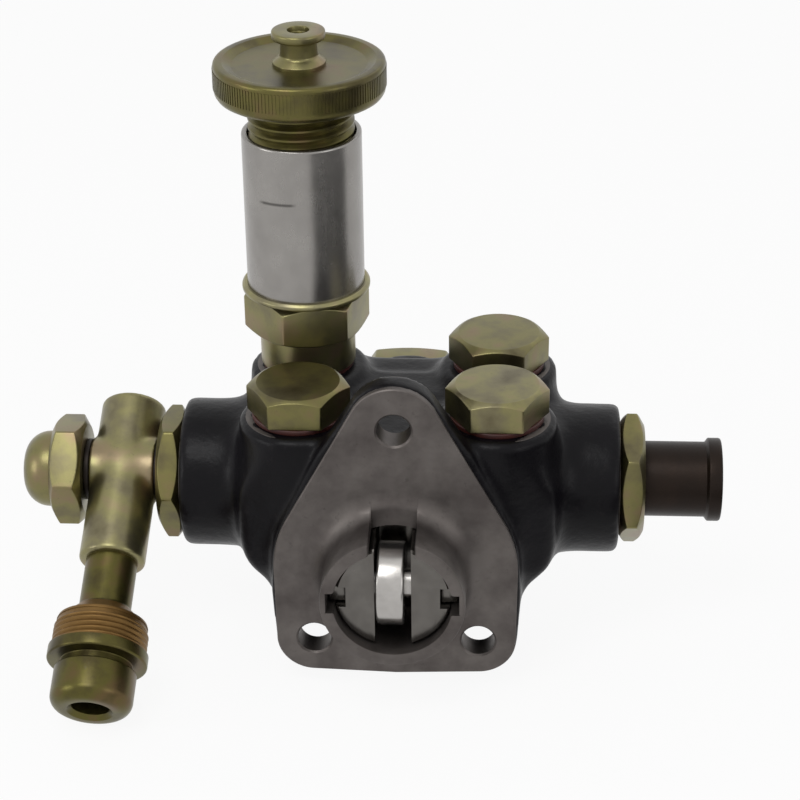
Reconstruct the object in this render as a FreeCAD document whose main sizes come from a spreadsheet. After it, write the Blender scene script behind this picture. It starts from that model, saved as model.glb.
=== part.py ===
import FreeCAD, Part
import Sketcher
import math
import os
import re

# Double-acting fuel feed pump with a hand primer, in millimetres.
# X points right, Y into the pump from its machined flange face, Z up.
# The origin is the centre of the flange face, on the axis of the roller tappet.

SIZES = {
    # mounting flange and tappet hub
    "flange_thickness": 8,
    "flange_top_height": 42.5,
    "flange_top_radius": 12.5,
    "flange_belly_radius": 32.8,
    "foot_spacing": 44,
    "foot_drop": 21.5,
    "foot_radius": 10.5,
    "mount_hole_diameter": 9,
    "nut_space_diameter": 17,
    "nut_space_depth": 16,
    "hub_diameter": 38,
    "hub_length": 15.8,
    "hub_root_radius": 6,
    "tappet_diameter": 30.4,
    "tappet_travel": 8,
    "hub_notch_width": 12,
    "hub_notch_length": 14.3,
    "guide_slot_width": 6,
    "guide_slot_span": 34.6,
    "guide_slot_length": 25,
    # cast housing
    "column_spacing": 52.5,
    "front_row": 20.5,
    "rear_row": 51,
    "tower_diameter": 32,
    "tower_height": 36,
    "deck_height": 32,
    "deck_half_width": 30,
    "chest_front": 8,
    "chest_rear": 64,
    "chest_half_width": 42,
    "chest_half_foot": 24,
    "chest_drop": 24,
    "chest_knee_drop": 14.4,
    "deck_shoulder": 12,
    "deck_pad_width": 27,
    "deck_pad_length": 15,
    "deck_pad_middle": 44.5,
    "deck_pad_rise": 1,
    "barrel_diameter": 44,
    "barrel_rear": 84,
    "arm_row": 35.6,
    "arm_height": 9.2,
    "arm_diameter": 40.6,
    "arm_reach": 59.4,
    "cast_chamfer": 1.2,
    "cast_round": 4,
    # chambers inside the housing
    "thread_diameter": 18,
    "thread_depth": 16,
    "chamber_diameter": 16,
    "seat_height": 5,
    "seat_bore": 8,
    "gallery_bore": 8,
    "port_bore": 6,
    "port_shift": 5.2,
    "port_rise": 3.5,
    "port_fall": 7,
    "passage_bore": 14,
    "passage_overlap": 5,
    "arm_thread_diameter": 24,
    "arm_thread_depth": 16,
    # running clearances
    "running_gap": 0.3,
    "seat_gap": 0.3,
    "thread_gap": 0.05,
    # common to many pieces
    "overrun": 1,
    "edge_break": 0.7,
    "thread_start": 1,
    "hex_bevel_ratio": 0.46,
    "hex_clear_ratio": 0.6,
    "hex_bevel_angle": 30,
    # hexagon plugs, washers, valves and their springs
    "plug_hex": 24,
    "plug_head": 8.4,
    "washer_thickness": 1.5,
    "washer_diameter": 25,
    "guide_bore_diameter": 6,
    "guide_bore_depth": 9,
    "valve_diameter": 13,
    "valve_thickness": 2.5,
    "valve_stem": 16,
    "valve_spring_radius": 4.6,
    "valve_spring_wire": 0.9,
    "valve_spring_coils": 4,
    # hand primer
    "primer_base_hex": 30,
    "primer_neck_diameter": 26,
    "primer_neck_length": 9.5,
    "primer_hex_length": 12.5,
    "primer_hex_turn": 13,
    "collar_diameter": 34.8,
    "collar_thickness": 1.8,
    "barrel_socket_depth": 10,
    "barrel_spigot_step": 2.6,
    "primer_barrel_diameter": 31.8,
    "primer_barrel_top": 104.5,
    "primer_bore": 22,
    "primer_mouth_bore": 28.8,
    "primer_mouth_depth": 16,
    "primer_feed_bore": 5,
    "stop_ring_thickness": 1.5,
    "stop_ring_bore": 16,
    "primer_down": 9.2,
    "piston_length": 9,
    "piston_floor": 2,
    "seal_width": 3,
    "seal_depth": 2.2,
    "rod_diameter": 7,
    "rod_foot_diameter": 11,
    "rod_foot_thickness": 2.6,
    "knob_lift": 9.7,
    "knob_diameter": 45.4,
    "knob_thickness": 9.8,
    "knob_rim_width": 2.6,
    "knob_dish": 1.2,
    "knob_edge": 1.2,
    "knob_foot_round": 3,
    "knob_web": 2.5,
    "knob_skirt_length": 14.6,
    "knob_skirt_bore": 17,
    "cap_base_diameter": 14,
    "cap_base_lip": 0.8,
    "cap_base_height": 2.4,
    "cap_neck_diameter": 9.6,
    "cap_neck_height": 7,
    "cap_head_diameter": 14,
    "cap_head_height": 2.2,
    "cap_recess_diameter": 5.6,
    "cap_recess_floor": 0.6,
    # roller tappet and plunger
    "tappet_front": 12.6,
    "tappet_floor": 3,
    "roller_diameter": 22,
    "roller_width": 7.2,
    "roller_centre": 5,
    "roller_slot_gap": 0.4,
    "roller_side_gap": 1.2,
    "roller_side_shift": -0.7,
    "pin_diameter": 8,
    "guide_block_front": 2.4,
    "guide_block_length": 9,
    "guide_block_reach": 5,
    "spindle_diameter": 7.6,
    "spindle_wall": 4.5,
    "plunger_diameter": 26,
    "plunger_length": 26,
    "plunger_pocket_diameter": 20,
    "plunger_pocket_depth": 10,
    "plunger_spring_radius": 8.4,
    "plunger_spring_wire": 2,
    "plunger_spring_coils": 6,
    "rear_plug_hex": 36,
    "rear_plug_head": 10.5,
    "rear_plug_thread": 30,
    "rear_plug_depth": 12,
    "rear_plug_pocket": 6,
    "rear_washer_diameter": 38,
    # inlet side: adaptor, banjo, stud, cap nut and pipe union
    "adaptor_hex": 32,
    "adaptor_head": 6.9,
    "adaptor_clearance": 1.5,
    "inlet_hex_turn": 34,
    "outlet_hex_turn": 47,
    "cap_nut_turn": 40,
    "banjo_diameter": 18,
    "banjo_boss_diameter": 17,
    "banjo_bore": 12.6,
    "banjo_head_length": 20,
    "banjo_leg_length": 29,
    "banjo_feed_bore": 7,
    "stud_diameter": 12,
    "stud_feed_bore": 5,
    "stud_engagement": 14,
    "stud_end_wall": 6,
    "banjo_washer_diameter": 17,
    "cap_nut_hex": 27,
    "cap_nut_hex_length": 8.8,
    "cap_nut_dome_diameter": 21,
    "cap_nut_dome_straight": 1.6,
    "cap_nut_dome_round": 6.8,
    "leg_angle": 31,
    "leg_lean": 1.8,
    "union_neck_diameter": 14,
    "union_neck_length": 14,
    "union_cone_length": 5.5,
    "union_thread_diameter": 25.4,
    "union_thread_length": 12.5,
    "union_ring_diameter": 26.8,
    "union_ring_length": 3.5,
    "union_groove_diameter": 19,
    "union_groove_length": 2.2,
    "union_nose_diameter": 22,
    "union_nose_length": 11.3,
    "union_nose_round": 3.5,
    "union_bore": 10,
    "union_mouth_chamfer": 1.2,
    # outlet side: adaptor and hose nipple
    "nipple_diameter": 20.6,
    "nipple_length": 21,
    "nipple_bead_diameter": 22.8,
    "nipple_bead_length": 3.6,
    "nipple_bore": 13,
    "nipple_spigot_diameter": 17,
    "nipple_spigot_length": 9,
}

RISE = FreeCAD.Vector(0, 0, 1)
INWARD = FreeCAD.Vector(0, 1, 0)
RIGHT = FreeCAD.Vector(1, 0, 0)
LEFT = FreeCAD.Vector(-1, 0, 0)

os.makedirs("parts", exist_ok=True)
doc = FreeCAD.newDocument("hand_primer_pump")


def fill_sheet():
    """Writes each driving size into the sheet under its own alias."""
    table = doc.addObject("Spreadsheet::Sheet", "Sizes")
    for row, (alias, number) in enumerate(SIZES.items(), 1):
        table.set(f"A{row}", alias)
        table.set(f"B{row}", str(number))
        table.setAlias(f"B{row}", alias)
    doc.recompute()
    return table


sheet = fill_sheet()


def bound(text):
    """Turns the size names in an expression into references to the sheet."""
    return re.sub(r"[a-z]\w*", lambda word: f"Sizes.{word[0]}" if word[0] in SIZES else word[0], text)


def value(text):
    return float(sheet.evalExpression(bound(text)))


def sketch_on(body, name, role):
    """Adds a sketch on one of the body's own origin planes."""
    sketch = body.newObject("Sketcher::SketchObject", name)
    plane = next(feature for feature in body.Origin.OriginFeatures if feature.Role == role)
    sketch.AttachmentSupport = [(plane, "")]
    sketch.MapMode = "FlatFace"
    return sketch


def arc_between(start, end, radius, side):
    """The minor arc from start to end, turning left (side 1) or right (side -1)."""
    chord = end - start
    middle = (start + end) * 0.5
    sideways = FreeCAD.Vector(-chord.y, chord.x, 0).normalize() * side
    centre = middle + sideways * math.sqrt(max(radius**2 - (chord.Length / 2) ** 2, 0))
    first, last = (start, end) if side > 0 else (end, start)
    angles = [math.atan2(p.y - centre.y, p.x - centre.x) for p in (first, last)]
    return Part.ArcOfCircle(Part.Circle(centre, RISE, radius), *angles)


def pin_point(sketch, edge, end, x, y):
    """Holds a corner at two expressions measured from the sketch's origin."""
    for kind, axis, text in (("DistanceX", -2, x), ("DistanceY", -1, y)):
        if text == "0":
            sketch.addConstraint(Sketcher.Constraint("PointOnObject", edge, end, axis))
            continue
        index = sketch.addConstraint(Sketcher.Constraint(kind, edge, end, value(text)))
        sketch.setExpression(f"Constraints[{index}]", bound(text))


def outline(sketch, corners):
    """Closes a loop through corners (x, y); one with (radius, side) starts an arc."""
    points = [FreeCAD.Vector(value(corner[0]), value(corner[1]), 0) for corner in corners]
    ends = []
    for corner, start, end in zip(corners, points, points[1:] + points[:1]):
        if len(corner) == 2:
            edge = sketch.addGeometry(Part.LineSegment(start, end), False)
            ends.append((edge, 1, 2))
            continue
        radius, side = corner[2:]
        edge = sketch.addGeometry(arc_between(start, end, value(radius), side), False)
        ends.append((edge, 1, 2) if side > 0 else (edge, 2, 1))
    for here, after in zip(ends, ends[1:] + ends[:1]):
        sketch.addConstraint(Sketcher.Constraint("Coincident", here[0], here[2], after[0], after[1]))
    for corner, (edge, start, _) in zip(corners, ends):
        pin_point(sketch, edge, start, corner[0], corner[1])
        if len(corner) > 2:
            index = sketch.addConstraint(Sketcher.Constraint("Radius", edge, value(corner[2])))
            sketch.setExpression(f"Constraints[{index}]", bound(corner[2]))


def hull(sketch, circles):
    """The taut outline round circles (x, y, radius), given anticlockwise."""
    centres = [FreeCAD.Vector(value(x), value(y), 0) for x, y, _ in circles]
    radii = [value(radius) for _, _, radius in circles]
    count = len(circles)
    tangents = []
    for i in range(count):
        j = (i + 1) % count
        along = centres[j] - centres[i]
        lean = (radii[i] - radii[j]) / along.Length
        along.normalize()
        outward = FreeCAD.Vector(along.y, -along.x, 0)
        normal = along * lean + outward * math.sqrt(1 - lean**2)
        tangents.append((centres[i] + normal * radii[i], centres[j] + normal * radii[j]))
    for i in range(count):
        start, end = tangents[i - 1][1], tangents[i][0]
        angles = [math.atan2(p.y - centres[i].y, p.x - centres[i].x) for p in (start, end)]
        sketch.addGeometry(Part.ArcOfCircle(Part.Circle(centres[i], RISE, radii[i]), *angles), False)
        sketch.addGeometry(Part.LineSegment(*tangents[i]), False)
    for i in range(count):
        arc, line, next_arc = 2 * i, 2 * i + 1, 2 * ((i + 1) % count)
        sketch.addConstraint(Sketcher.Constraint("Tangent", arc, 2, line, 1))
        sketch.addConstraint(Sketcher.Constraint("Tangent", line, 2, next_arc, 1))
        pin_point(sketch, arc, 3, circles[i][0], circles[i][1])
        index = sketch.addConstraint(Sketcher.Constraint("Radius", arc, radii[i]))
        sketch.setExpression(f"Constraints[{index}]", bound(circles[i][2]))


def new_body(name):
    body = doc.addObject("PartDesign::Body", name)
    body.Label = name
    return body


def turned(body, tag, corners, cut=False):
    """Adds or cuts a profile of (radius, height) corners, turned about the body's Z axis."""
    sketch = sketch_on(body, tag + "_profile", "XZ_Plane")
    outline(sketch, corners)
    feature = body.newObject("PartDesign::Groove" if cut else "PartDesign::Revolution", tag)
    feature.Profile = sketch
    feature.ReferenceAxis = (sketch, ["V_Axis"])
    feature.Angle = 360
    return feature


def padded(body, tag, sketch, length, start="0", cut=False, reverse=False):
    """Pads or pockets a sketch by a length, after lifting it to its starting level."""
    sketch.setExpression("AttachmentOffset.Base.z", bound(start))
    feature = body.newObject("PartDesign::Pocket" if cut else "PartDesign::Pad", tag)
    feature.Profile = sketch
    feature.setExpression("Length", bound(length))
    feature.Reversed = reverse
    return feature


def hexagon(sketch, across_flats):
    """A hexagon with two corners on the X axis."""
    far, near, flat = (f"({across_flats}) / {root}" for root in ("sqrt(3)", "sqrt(12)", "2"))
    corners = [(far, "0"), (near, flat), (f"-{near}", flat), (f"-{far}", "0")]
    corners += [(f"-{near}", f"-{flat}"), (near, f"-{flat}")]
    outline(sketch, corners)


def hex_head(body, tag, across_flats, bottom, height, both_ends=False):
    """A hexagon with its corners bevelled at the top, or at both ends."""
    sketch = sketch_on(body, tag + "_outline", "XY_Plane")
    hexagon(sketch, across_flats)
    padded(body, tag, sketch, height, bottom)
    inner, outer = (f"({across_flats}) * hex_{kind}_ratio" for kind in ("bevel", "clear"))
    fall = f"({outer} - {inner}) * tan(hex_bevel_angle)"
    top = f"{bottom} + {height}"
    turned(body, tag + "_bevel", [(inner, top), (outer, top), (outer, f"{top} - {fall}")], cut=True)
    if both_ends:
        lower = [(inner, bottom), (outer, f"{bottom} + {fall}"), (outer, bottom)]
        turned(body, tag + "_lower_bevel", lower, cut=True)


def place(item, x, y, z, direction=RISE, spin=0):
    """Puts the item's own Z axis along a direction, from a point given by expressions."""
    turn = FreeCAD.Rotation(RISE, direction).multiply(FreeCAD.Rotation(RISE, spin))
    item.Placement = FreeCAD.Placement(FreeCAD.Vector(), turn)
    for axis, text in zip("xyz", (x, y, z)):
        item.setExpression(f".Placement.Base.{axis}", bound(text))
    return item


def rod_solid(name, radius, length):
    item = doc.addObject("Part::Cylinder", name)
    item.setExpression("Radius", bound(radius))
    item.setExpression("Height", bound(length))
    return item


def block_solid(name, length, width, height):
    item = doc.addObject("Part::Box", name)
    for side, text in (("Length", length), ("Width", width), ("Height", height)):
        item.setExpression(side, bound(text))
    return item


def joined(name, items):
    union = doc.addObject("Part::MultiFuse", name)
    union.Shapes = items
    union.Refine = False
    return union


def cut_from(name, base, tools):
    """The base less the tools, as one object whose Label names the piece."""
    result = doc.addObject("Part::Cut", name)
    result.Base = base
    result.Tool = joined(name + "_cuts", tools) if len(tools) > 1 else tools[0]
    result.Refine = True
    result.Label = name
    return result


COLUMNS = {"left": "-column_spacing / 2", "right": "column_spacing / 2"}
ROWS = {"front": "front_row", "rear": "rear_row"}
TOWERS = [(row, side) for row in ROWS for side in COLUMNS]
BORE = "(tappet_diameter + 2 * running_gap)"
HEAD_SEAT = "(tower_height + washer_thickness)"
PRIMER_X, PRIMER_Y = COLUMNS["left"], ROWS["rear"]
PRIMER_FLOOR = f"({HEAD_SEAT} + primer_neck_length + primer_hex_length - barrel_socket_depth)"
BASE_TOP = f"({PRIMER_FLOOR} + barrel_socket_depth)"
PISTON_FOOT = f"({PRIMER_FLOOR} + running_gap + primer_down)"
KNOB_UNDERSIDE = "(primer_barrel_top + knob_lift)"
KNOB_TOP = f"({KNOB_UNDERSIDE} + knob_thickness)"
BARREL_STEP = "(primer_barrel_top - primer_mouth_depth)"
ROLLER_SLOT_DEPTH = "(tappet_front - roller_centre + roller_diameter / 2 + 2 * roller_slot_gap)"
TAPPET_REAR = f"({ROLLER_SLOT_DEPTH} + tappet_floor - tappet_front)"
TAPPET_BORE_END = f"({TAPPET_REAR} + tappet_travel + 2 * running_gap)"
PLUNGER_BORE_START = f"({TAPPET_BORE_END} + spindle_wall)"
PLUNGER_FRONT = f"({PLUNGER_BORE_START} + running_gap)"
PLUNGER_BORE = "(plunger_diameter + 2 * running_gap)"


def flange():
    """The flange plate: the taut outline round its three fixing bosses and its belly."""
    body = new_body("flange_plate")
    sketch = sketch_on(body, "flange_outline", "XZ_Plane")
    foot = "foot_spacing / 2"
    hull(
        sketch,
        [
            (f"-{foot}", "-foot_drop", "foot_radius"),
            (foot, "-foot_drop", "foot_radius"),
            ("0", "0", "flange_belly_radius"),
            ("0", "flange_top_height", "flange_top_radius"),
            ("0", "0", "flange_belly_radius"),
        ],
    )
    padded(body, "flange_plate_pad", sketch, "flange_thickness", reverse=True)
    return body


def hub():
    """The tappet hub in front of the flange, with the round fillet at its root."""
    body = new_body("tappet_hub")
    radius = "hub_diameter / 2"
    wide = f"{radius} + hub_root_radius"
    turned(
        body,
        "hub_turned",
        [
            ("0", "-hub_length"),
            (f"{radius} - edge_break", "-hub_length"),
            (radius, "edge_break - hub_length"),
            (radius, "-hub_root_radius", "hub_root_radius", -1),
            (wide, "0"),
            (wide, "flange_thickness"),
            ("0", "flange_thickness"),
        ],
    )
    return place(body, "0", "0", "0", INWARD)


def chest():
    """The block that joins towers, arms and barrel, with its flat deck between the towers."""
    body = new_body("chest")
    sketch = sketch_on(body, "chest_outline", "XZ_Plane")
    knee = "(chest_half_width + chest_half_foot) / 2"
    side = "arm_height - arm_diameter / 4"
    outline(
        sketch,
        [
            ("-chest_half_foot", "-chest_drop"),
            ("chest_half_foot", "-chest_drop"),
            (knee, "-chest_knee_drop"),
            ("chest_half_width", side),
            ("chest_half_width", "deck_height - deck_shoulder"),
            ("deck_half_width", "deck_height"),
            ("-deck_half_width", "deck_height"),
            ("-chest_half_width", "deck_height - deck_shoulder"),
            ("-chest_half_width", side),
            (f"-{knee}", "-chest_knee_drop"),
        ],
    )
    pad = padded(body, "chest_pad", sketch, "chest_rear - chest_front", "-chest_front", reverse=True)
    doc.recompute()
    long_edges = [
        f"Edge{number}"
        for number, edge in enumerate(pad.Shape.Edges, 1)
        if abs(edge.tangentAt(edge.FirstParameter).y) > 0.9
    ]
    rounding = body.newObject("PartDesign::Fillet", "chest_rounding")
    rounding.Base = (pad, long_edges)
    rounding.setExpression("Radius", bound("cast_round"))
    return body


def deck_pad():
    """The low raised panel on the deck between the towers."""
    pad = block_solid("deck_pad", "deck_pad_width", "deck_pad_length", "deck_pad_rise + cast_round")
    middle = "deck_pad_middle - deck_pad_length / 2"
    return place(pad, "-deck_pad_width / 2", middle, "deck_height - cast_round")


def boss(name, diameter, length):
    """A cast boss with a small chamfer round its machined end."""
    body = new_body(name)
    radius = f"{diameter} / 2"
    turned(
        body,
        name + "_turned",
        [
            ("0", "0"),
            (radius, "0"),
            (radius, f"{length} - cast_chamfer"),
            (f"{radius} - cast_chamfer", length),
            ("0", length),
        ],
    )
    return body


def cast_body():
    """The outside of the one-piece casting."""
    pieces = [flange(), hub(), chest(), deck_pad()]
    barrel = boss("plunger_barrel", "barrel_diameter", "barrel_rear - flange_thickness / 2")
    pieces.append(place(barrel, "0", "flange_thickness / 2", "0", INWARD))
    for row, side in TOWERS:
        tower = boss(f"tower_{row}_{side}", "tower_diameter", "tower_height")
        pieces.append(place(tower, COLUMNS[side], ROWS[row], "0"))
    for side, direction in (("left", LEFT), ("right", RIGHT)):
        arm = boss(f"arm_{side}", "arm_diameter", "arm_reach")
        pieces.append(place(arm, "0", "arm_row", "arm_height", direction))
    return joined("casting", pieces)


def mounting_cuts():
    """The three fixing holes through the flange, with room behind it for the lower nuts."""
    spots = [("0", "flange_top_height"), ("-foot_spacing / 2", "-foot_drop"), ("foot_spacing / 2", "-foot_drop")]
    cuts = []
    for number, (x, z) in enumerate(spots, 1):
        hole = rod_solid(f"fixing_hole_{number}", "mount_hole_diameter / 2", "flange_thickness * 3")
        cuts.append(place(hole, x, "-flange_thickness", z, INWARD))
        if z == "-foot_drop":
            room = rod_solid(f"nut_space_{number}", "nut_space_diameter / 2", "nut_space_depth")
            cuts.append(place(room, x, "flange_thickness", z, INWARD))
    return cuts


def tappet_cuts():
    """The tappet bore, its side guide slots and the notch in the top of the hub."""
    bore = rod_solid("tappet_bore", f"{BORE} / 2", f"{TAPPET_BORE_END} + hub_length + overrun")
    place(bore, "0", "-hub_length - overrun", "0", INWARD)
    slots = block_solid("guide_slots", "guide_slot_span", "guide_slot_length + overrun", "guide_slot_width")
    place(slots, "-guide_slot_span / 2", "-hub_length - overrun", "-guide_slot_width / 2")
    notch = block_solid("hub_notch", "hub_notch_width", "hub_notch_length + overrun", "hub_diameter / 2")
    place(notch, "-hub_notch_width / 2", "-hub_length - overrun", "tappet_diameter / 4")
    return [bore, slots, notch]


def plunger_cuts():
    """The spindle guide, the plunger's bore and the thread of the rear plug."""
    spindle = rod_solid("spindle_bore", "spindle_diameter / 2 + running_gap", "barrel_rear")
    place(spindle, "0", "0", "0", INWARD)
    bore = rod_solid("plunger_bore", f"{PLUNGER_BORE} / 2", "barrel_rear")
    place(bore, "0", PLUNGER_BORE_START, "0", INWARD)
    thread = rod_solid("rear_thread", "rear_plug_thread / 2 + thread_gap", "rear_plug_depth + overrun")
    place(thread, "0", "barrel_rear - rear_plug_depth", "0", INWARD)
    return [spindle, bore, thread]


def valve_cuts():
    """In each tower: thread, valve chamber, seat bore and the port to the plunger's bore."""
    cuts = []
    for row, side in TOWERS:
        spot = COLUMNS[side], ROWS[row]
        thread = rod_solid(f"thread_{row}_{side}", "thread_diameter / 2 + thread_gap", "thread_depth + overrun")
        cuts.append(place(thread, *spot, "tower_height - thread_depth"))
        chamber = rod_solid(f"chamber_{row}_{side}", "chamber_diameter / 2", "tower_height - seat_height")
        cuts.append(place(chamber, *spot, "seat_height"))
        low = "seat_height + port_rise" if side == "left" else "seat_height - port_fall"
        port = rod_solid(f"port_{row}_{side}", "port_bore / 2", "column_spacing / 2")
        across = spot[0] if side == "left" else "0"
        cuts.append(place(port, across, f"{ROWS[row]} + port_shift", low, RIGHT))
        below = rod_solid(f"seat_{row}_{side}", "seat_bore / 2", "gallery_bore + 2 * overrun")
        cuts.append(place(below, *spot, "seat_height - gallery_bore - overrun"))
    return cuts


def arm_cuts():
    """In each arm: the adaptor's thread, the passage and the gallery along the valves."""
    cuts = []
    for side, direction in (("left", LEFT), ("right", RIGHT)):
        sign = "-" if side == "left" else ""
        radius = "arm_thread_diameter / 2 + thread_gap"
        thread = rod_solid(f"arm_thread_{side}", radius, "arm_thread_depth + overrun")
        start = f"{sign}(arm_reach - arm_thread_depth)"
        cuts.append(place(thread, start, "arm_row", "arm_height", direction))
        inner = "(column_spacing / 2 - passage_overlap)"
        passage = rod_solid(f"passage_{side}", "passage_bore / 2", f"arm_reach + overrun - {inner}")
        cuts.append(place(passage, f"{sign}{inner}", "arm_row", "arm_height", direction))
        level = "seat_height - gallery_bore * 3 / 4" if side == "left" else "arm_height"
        gallery = rod_solid(f"gallery_{side}", "gallery_bore / 2", "rear_row - front_row")
        cuts.append(place(gallery, COLUMNS[side], "front_row", level, INWARD))
    return cuts


def housing():
    cuts = mounting_cuts() + tappet_cuts() + plunger_cuts() + valve_cuts() + arm_cuts()
    return [cut_from("housing", cast_body(), cuts)]


def washer(name, outer, inner, thickness="washer_thickness"):
    body = new_body(name)
    corners = [(inner, "0"), (outer, "0"), (outer, thickness), (inner, thickness)]
    turned(body, name + "_turned", corners)
    return body


def plug(name):
    """A chamfered hexagon plug with its threaded shank and the bore that guides a valve stem."""
    body = new_body(name)
    hex_head(body, name + "_head", "plug_hex", "0", "plug_head")
    radius = "thread_diameter / 2"
    shank = [("0", "0"), ("0", "-thread_depth"), (f"{radius} - thread_start", "-thread_depth")]
    turned(body, name + "_shank", shank + [(radius, "thread_start - thread_depth"), (radius, "0")])
    bore = "guide_bore_diameter / 2"
    deep = "guide_bore_depth - thread_depth"
    profile = [("0", "-thread_depth"), (bore, "-thread_depth"), (bore, deep), ("0", deep)]
    turned(body, name + "_guide", profile, cut=True)
    return body


def plugs():
    """Three hexagon plugs; the fourth tower, at the rear left, carries the primer."""
    made = []
    for row, side in TOWERS:
        seal = washer(f"sealing_washer_{row}_{side}", "washer_diameter / 2", "thread_diameter / 2 + thread_gap")
        made.append(place(seal, COLUMNS[side], ROWS[row], "tower_height"))
        if (row, side) != ("rear", "left"):
            made.append(place(plug(f"plug_{row}_{side}"), COLUMNS[side], ROWS[row], HEAD_SEAT))
    return made


def coil_spring(name, radius, wire, coils, length):
    """A coil spring along Z: a hexagonal wire swept along a many-sided helix."""
    steps = 10
    radius, wire, coils = value(radius), value(wire), int(value(coils))
    rise = value(length) - wire
    turns = [2 * math.pi * i / steps for i in range(coils * steps + 1)]
    spine = Part.makePolygon(
        [
            FreeCAD.Vector(radius * math.cos(a), radius * math.sin(a), wire / 2 + rise * a / turns[-1])
            for a in turns
        ]
    )
    start, following = spine.Vertexes[0].Point, spine.Vertexes[1].Point
    ring = Part.makePolygon(
        [
            FreeCAD.Vector(wire / 2 * math.cos(math.pi * i / 3), wire / 2 * math.sin(math.pi * i / 3), 0)
            for i in range(7)
        ]
    )
    ring.Placement = FreeCAD.Placement(start, FreeCAD.Rotation(RISE, following - start))
    item = doc.addObject("Part::Feature", name)
    item.Label = name
    item.Shape = spine.makePipeShell([ring], True, True, 1)
    return item


def valves():
    """A stemmed plate valve and its spring in each tower: suction left, delivery right."""
    made = []
    disc, stem = "valve_diameter / 2", "guide_bore_diameter / 2 - running_gap"
    for row, side in TOWERS:
        kind = "suction" if side == "left" else "delivery"
        body = new_body(f"{kind}_valve_{row}")
        top = "valve_thickness + valve_stem"
        turned(
            body,
            f"{kind}_valve_{row}_turned",
            [
                ("0", "0"),
                (f"{disc} - edge_break", "0"),
                (disc, "edge_break"),
                (disc, "valve_thickness"),
                (stem, "valve_thickness"),
                (stem, f"{top} - edge_break"),
                (f"{stem} - edge_break", top),
                ("0", top),
            ],
        )
        spot = COLUMNS[side], ROWS[row]
        made.append(place(body, *spot, "seat_height + seat_gap"))
        foot = "seat_height + seat_gap + valve_thickness"
        shank_end = f"{HEAD_SEAT} - thread_depth"
        spring = coil_spring(
            f"{kind}_spring_{row}",
            "valve_spring_radius",
            "valve_spring_wire",
            "valve_spring_coils",
            f"{shank_end} - ({foot})",
        )
        made.append(place(spring, *spot, foot))
    return made


def primer_base():
    """The hexagon base that screws into the rear left tower and holds the primer's barrel."""
    body = new_body("primer_base")
    hex_head(body, "base_hex", "primer_base_hex", "primer_neck_length", "primer_hex_length", both_ends=True)
    neck, shank = "primer_neck_diameter / 2", "thread_diameter / 2"
    rise = "primer_neck_length"
    turned(
        body,
        "base_neck",
        [
            ("0", "-thread_depth"),
            (f"{shank} - thread_start", "-thread_depth"),
            (shank, "thread_start - thread_depth"),
            (shank, "0"),
            (neck, "0"),
            (neck, rise),
            ("0", rise),
        ],
    )
    feed = "guide_bore_diameter / 2"
    socket = "primer_barrel_diameter / 2 - barrel_spigot_step + thread_gap"
    top = "primer_neck_length + primer_hex_length"
    floor = f"{top} - barrel_socket_depth"
    turned(
        body,
        "base_bore",
        [
            ("0", "-thread_depth"),
            (feed, "-thread_depth"),
            (feed, "guide_bore_depth - thread_depth"),
            ("primer_feed_bore / 2", "guide_bore_depth - thread_depth"),
            ("primer_feed_bore / 2", floor),
            (socket, floor),
            (socket, top),
            ("0", top),
        ],
        cut=True,
    )
    return place(body, PRIMER_X, PRIMER_Y, HEAD_SEAT, spin=value("primer_hex_turn"))


def primer_barrel():
    """The primer's cylinder: spigot, bore for the piston and a wide mouth for the knob's thread."""
    body = new_body("primer_barrel")
    outer, bore, mouth = "primer_barrel_diameter / 2", "primer_bore / 2", "primer_mouth_bore / 2"
    spigot = f"{outer} - barrel_spigot_step"
    length = f"primer_barrel_top - {PRIMER_FLOOR}"
    turned(
        body,
        "barrel_turned",
        [
            (bore, "0"),
            (spigot, "0"),
            (spigot, "barrel_socket_depth"),
            (outer, "barrel_socket_depth"),
            (outer, f"{length} - edge_break"),
            (f"{outer} - edge_break", length),
            (mouth, length),
            (mouth, f"{length} - primer_mouth_depth"),
            (bore, f"{length} - primer_mouth_depth"),
        ],
    )
    return place(body, PRIMER_X, PRIMER_Y, PRIMER_FLOOR)


def primer_collar():
    """The lock ring that sits on the hexagon round the foot of the barrel."""
    body = new_body("primer_collar")
    outer, inner = "collar_diameter / 2", "primer_barrel_diameter / 2 + thread_gap"
    turned(
        body,
        "collar_turned",
        [
            (inner, "0"),
            (outer, "0"),
            (outer, "collar_thickness - edge_break"),
            (f"{outer} - edge_break", "collar_thickness"),
            (inner, "collar_thickness"),
        ],
    )
    return place(body, PRIMER_X, PRIMER_Y, BASE_TOP)


def primer_stop_ring():
    """The ring on the step below the mouth that stops the piston at the top of its stroke."""
    outer = "primer_mouth_bore / 2 - thread_gap"
    ring = washer("primer_stop_ring", outer, "stop_ring_bore / 2", "stop_ring_thickness")
    return place(ring, PRIMER_X, PRIMER_Y, BARREL_STEP)


def primer_piston():
    """The piston with its seal groove and the pocket in which the rod's foot swivels."""
    body = new_body("primer_piston")
    outer = "primer_bore / 2 - running_gap"
    low, high = "(piston_length - seal_width) / 2", "(piston_length + seal_width) / 2"
    neck, pocket = "rod_diameter / 2 + running_gap", "rod_foot_diameter / 2 + running_gap"
    roof = "(piston_floor + rod_foot_thickness + 2 * running_gap)"
    turned(
        body,
        "piston_turned",
        [
            ("0", "0"),
            (outer, "0"),
            (outer, low),
            (f"{outer} - seal_depth", low),
            (f"{outer} - seal_depth", high),
            (outer, high),
            (outer, "piston_length"),
            (neck, "piston_length"),
            (neck, roof),
            (pocket, roof),
            (pocket, "piston_floor"),
            ("0", "piston_floor"),
        ],
    )
    return place(body, PRIMER_X, PRIMER_Y, PISTON_FOOT)


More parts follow.
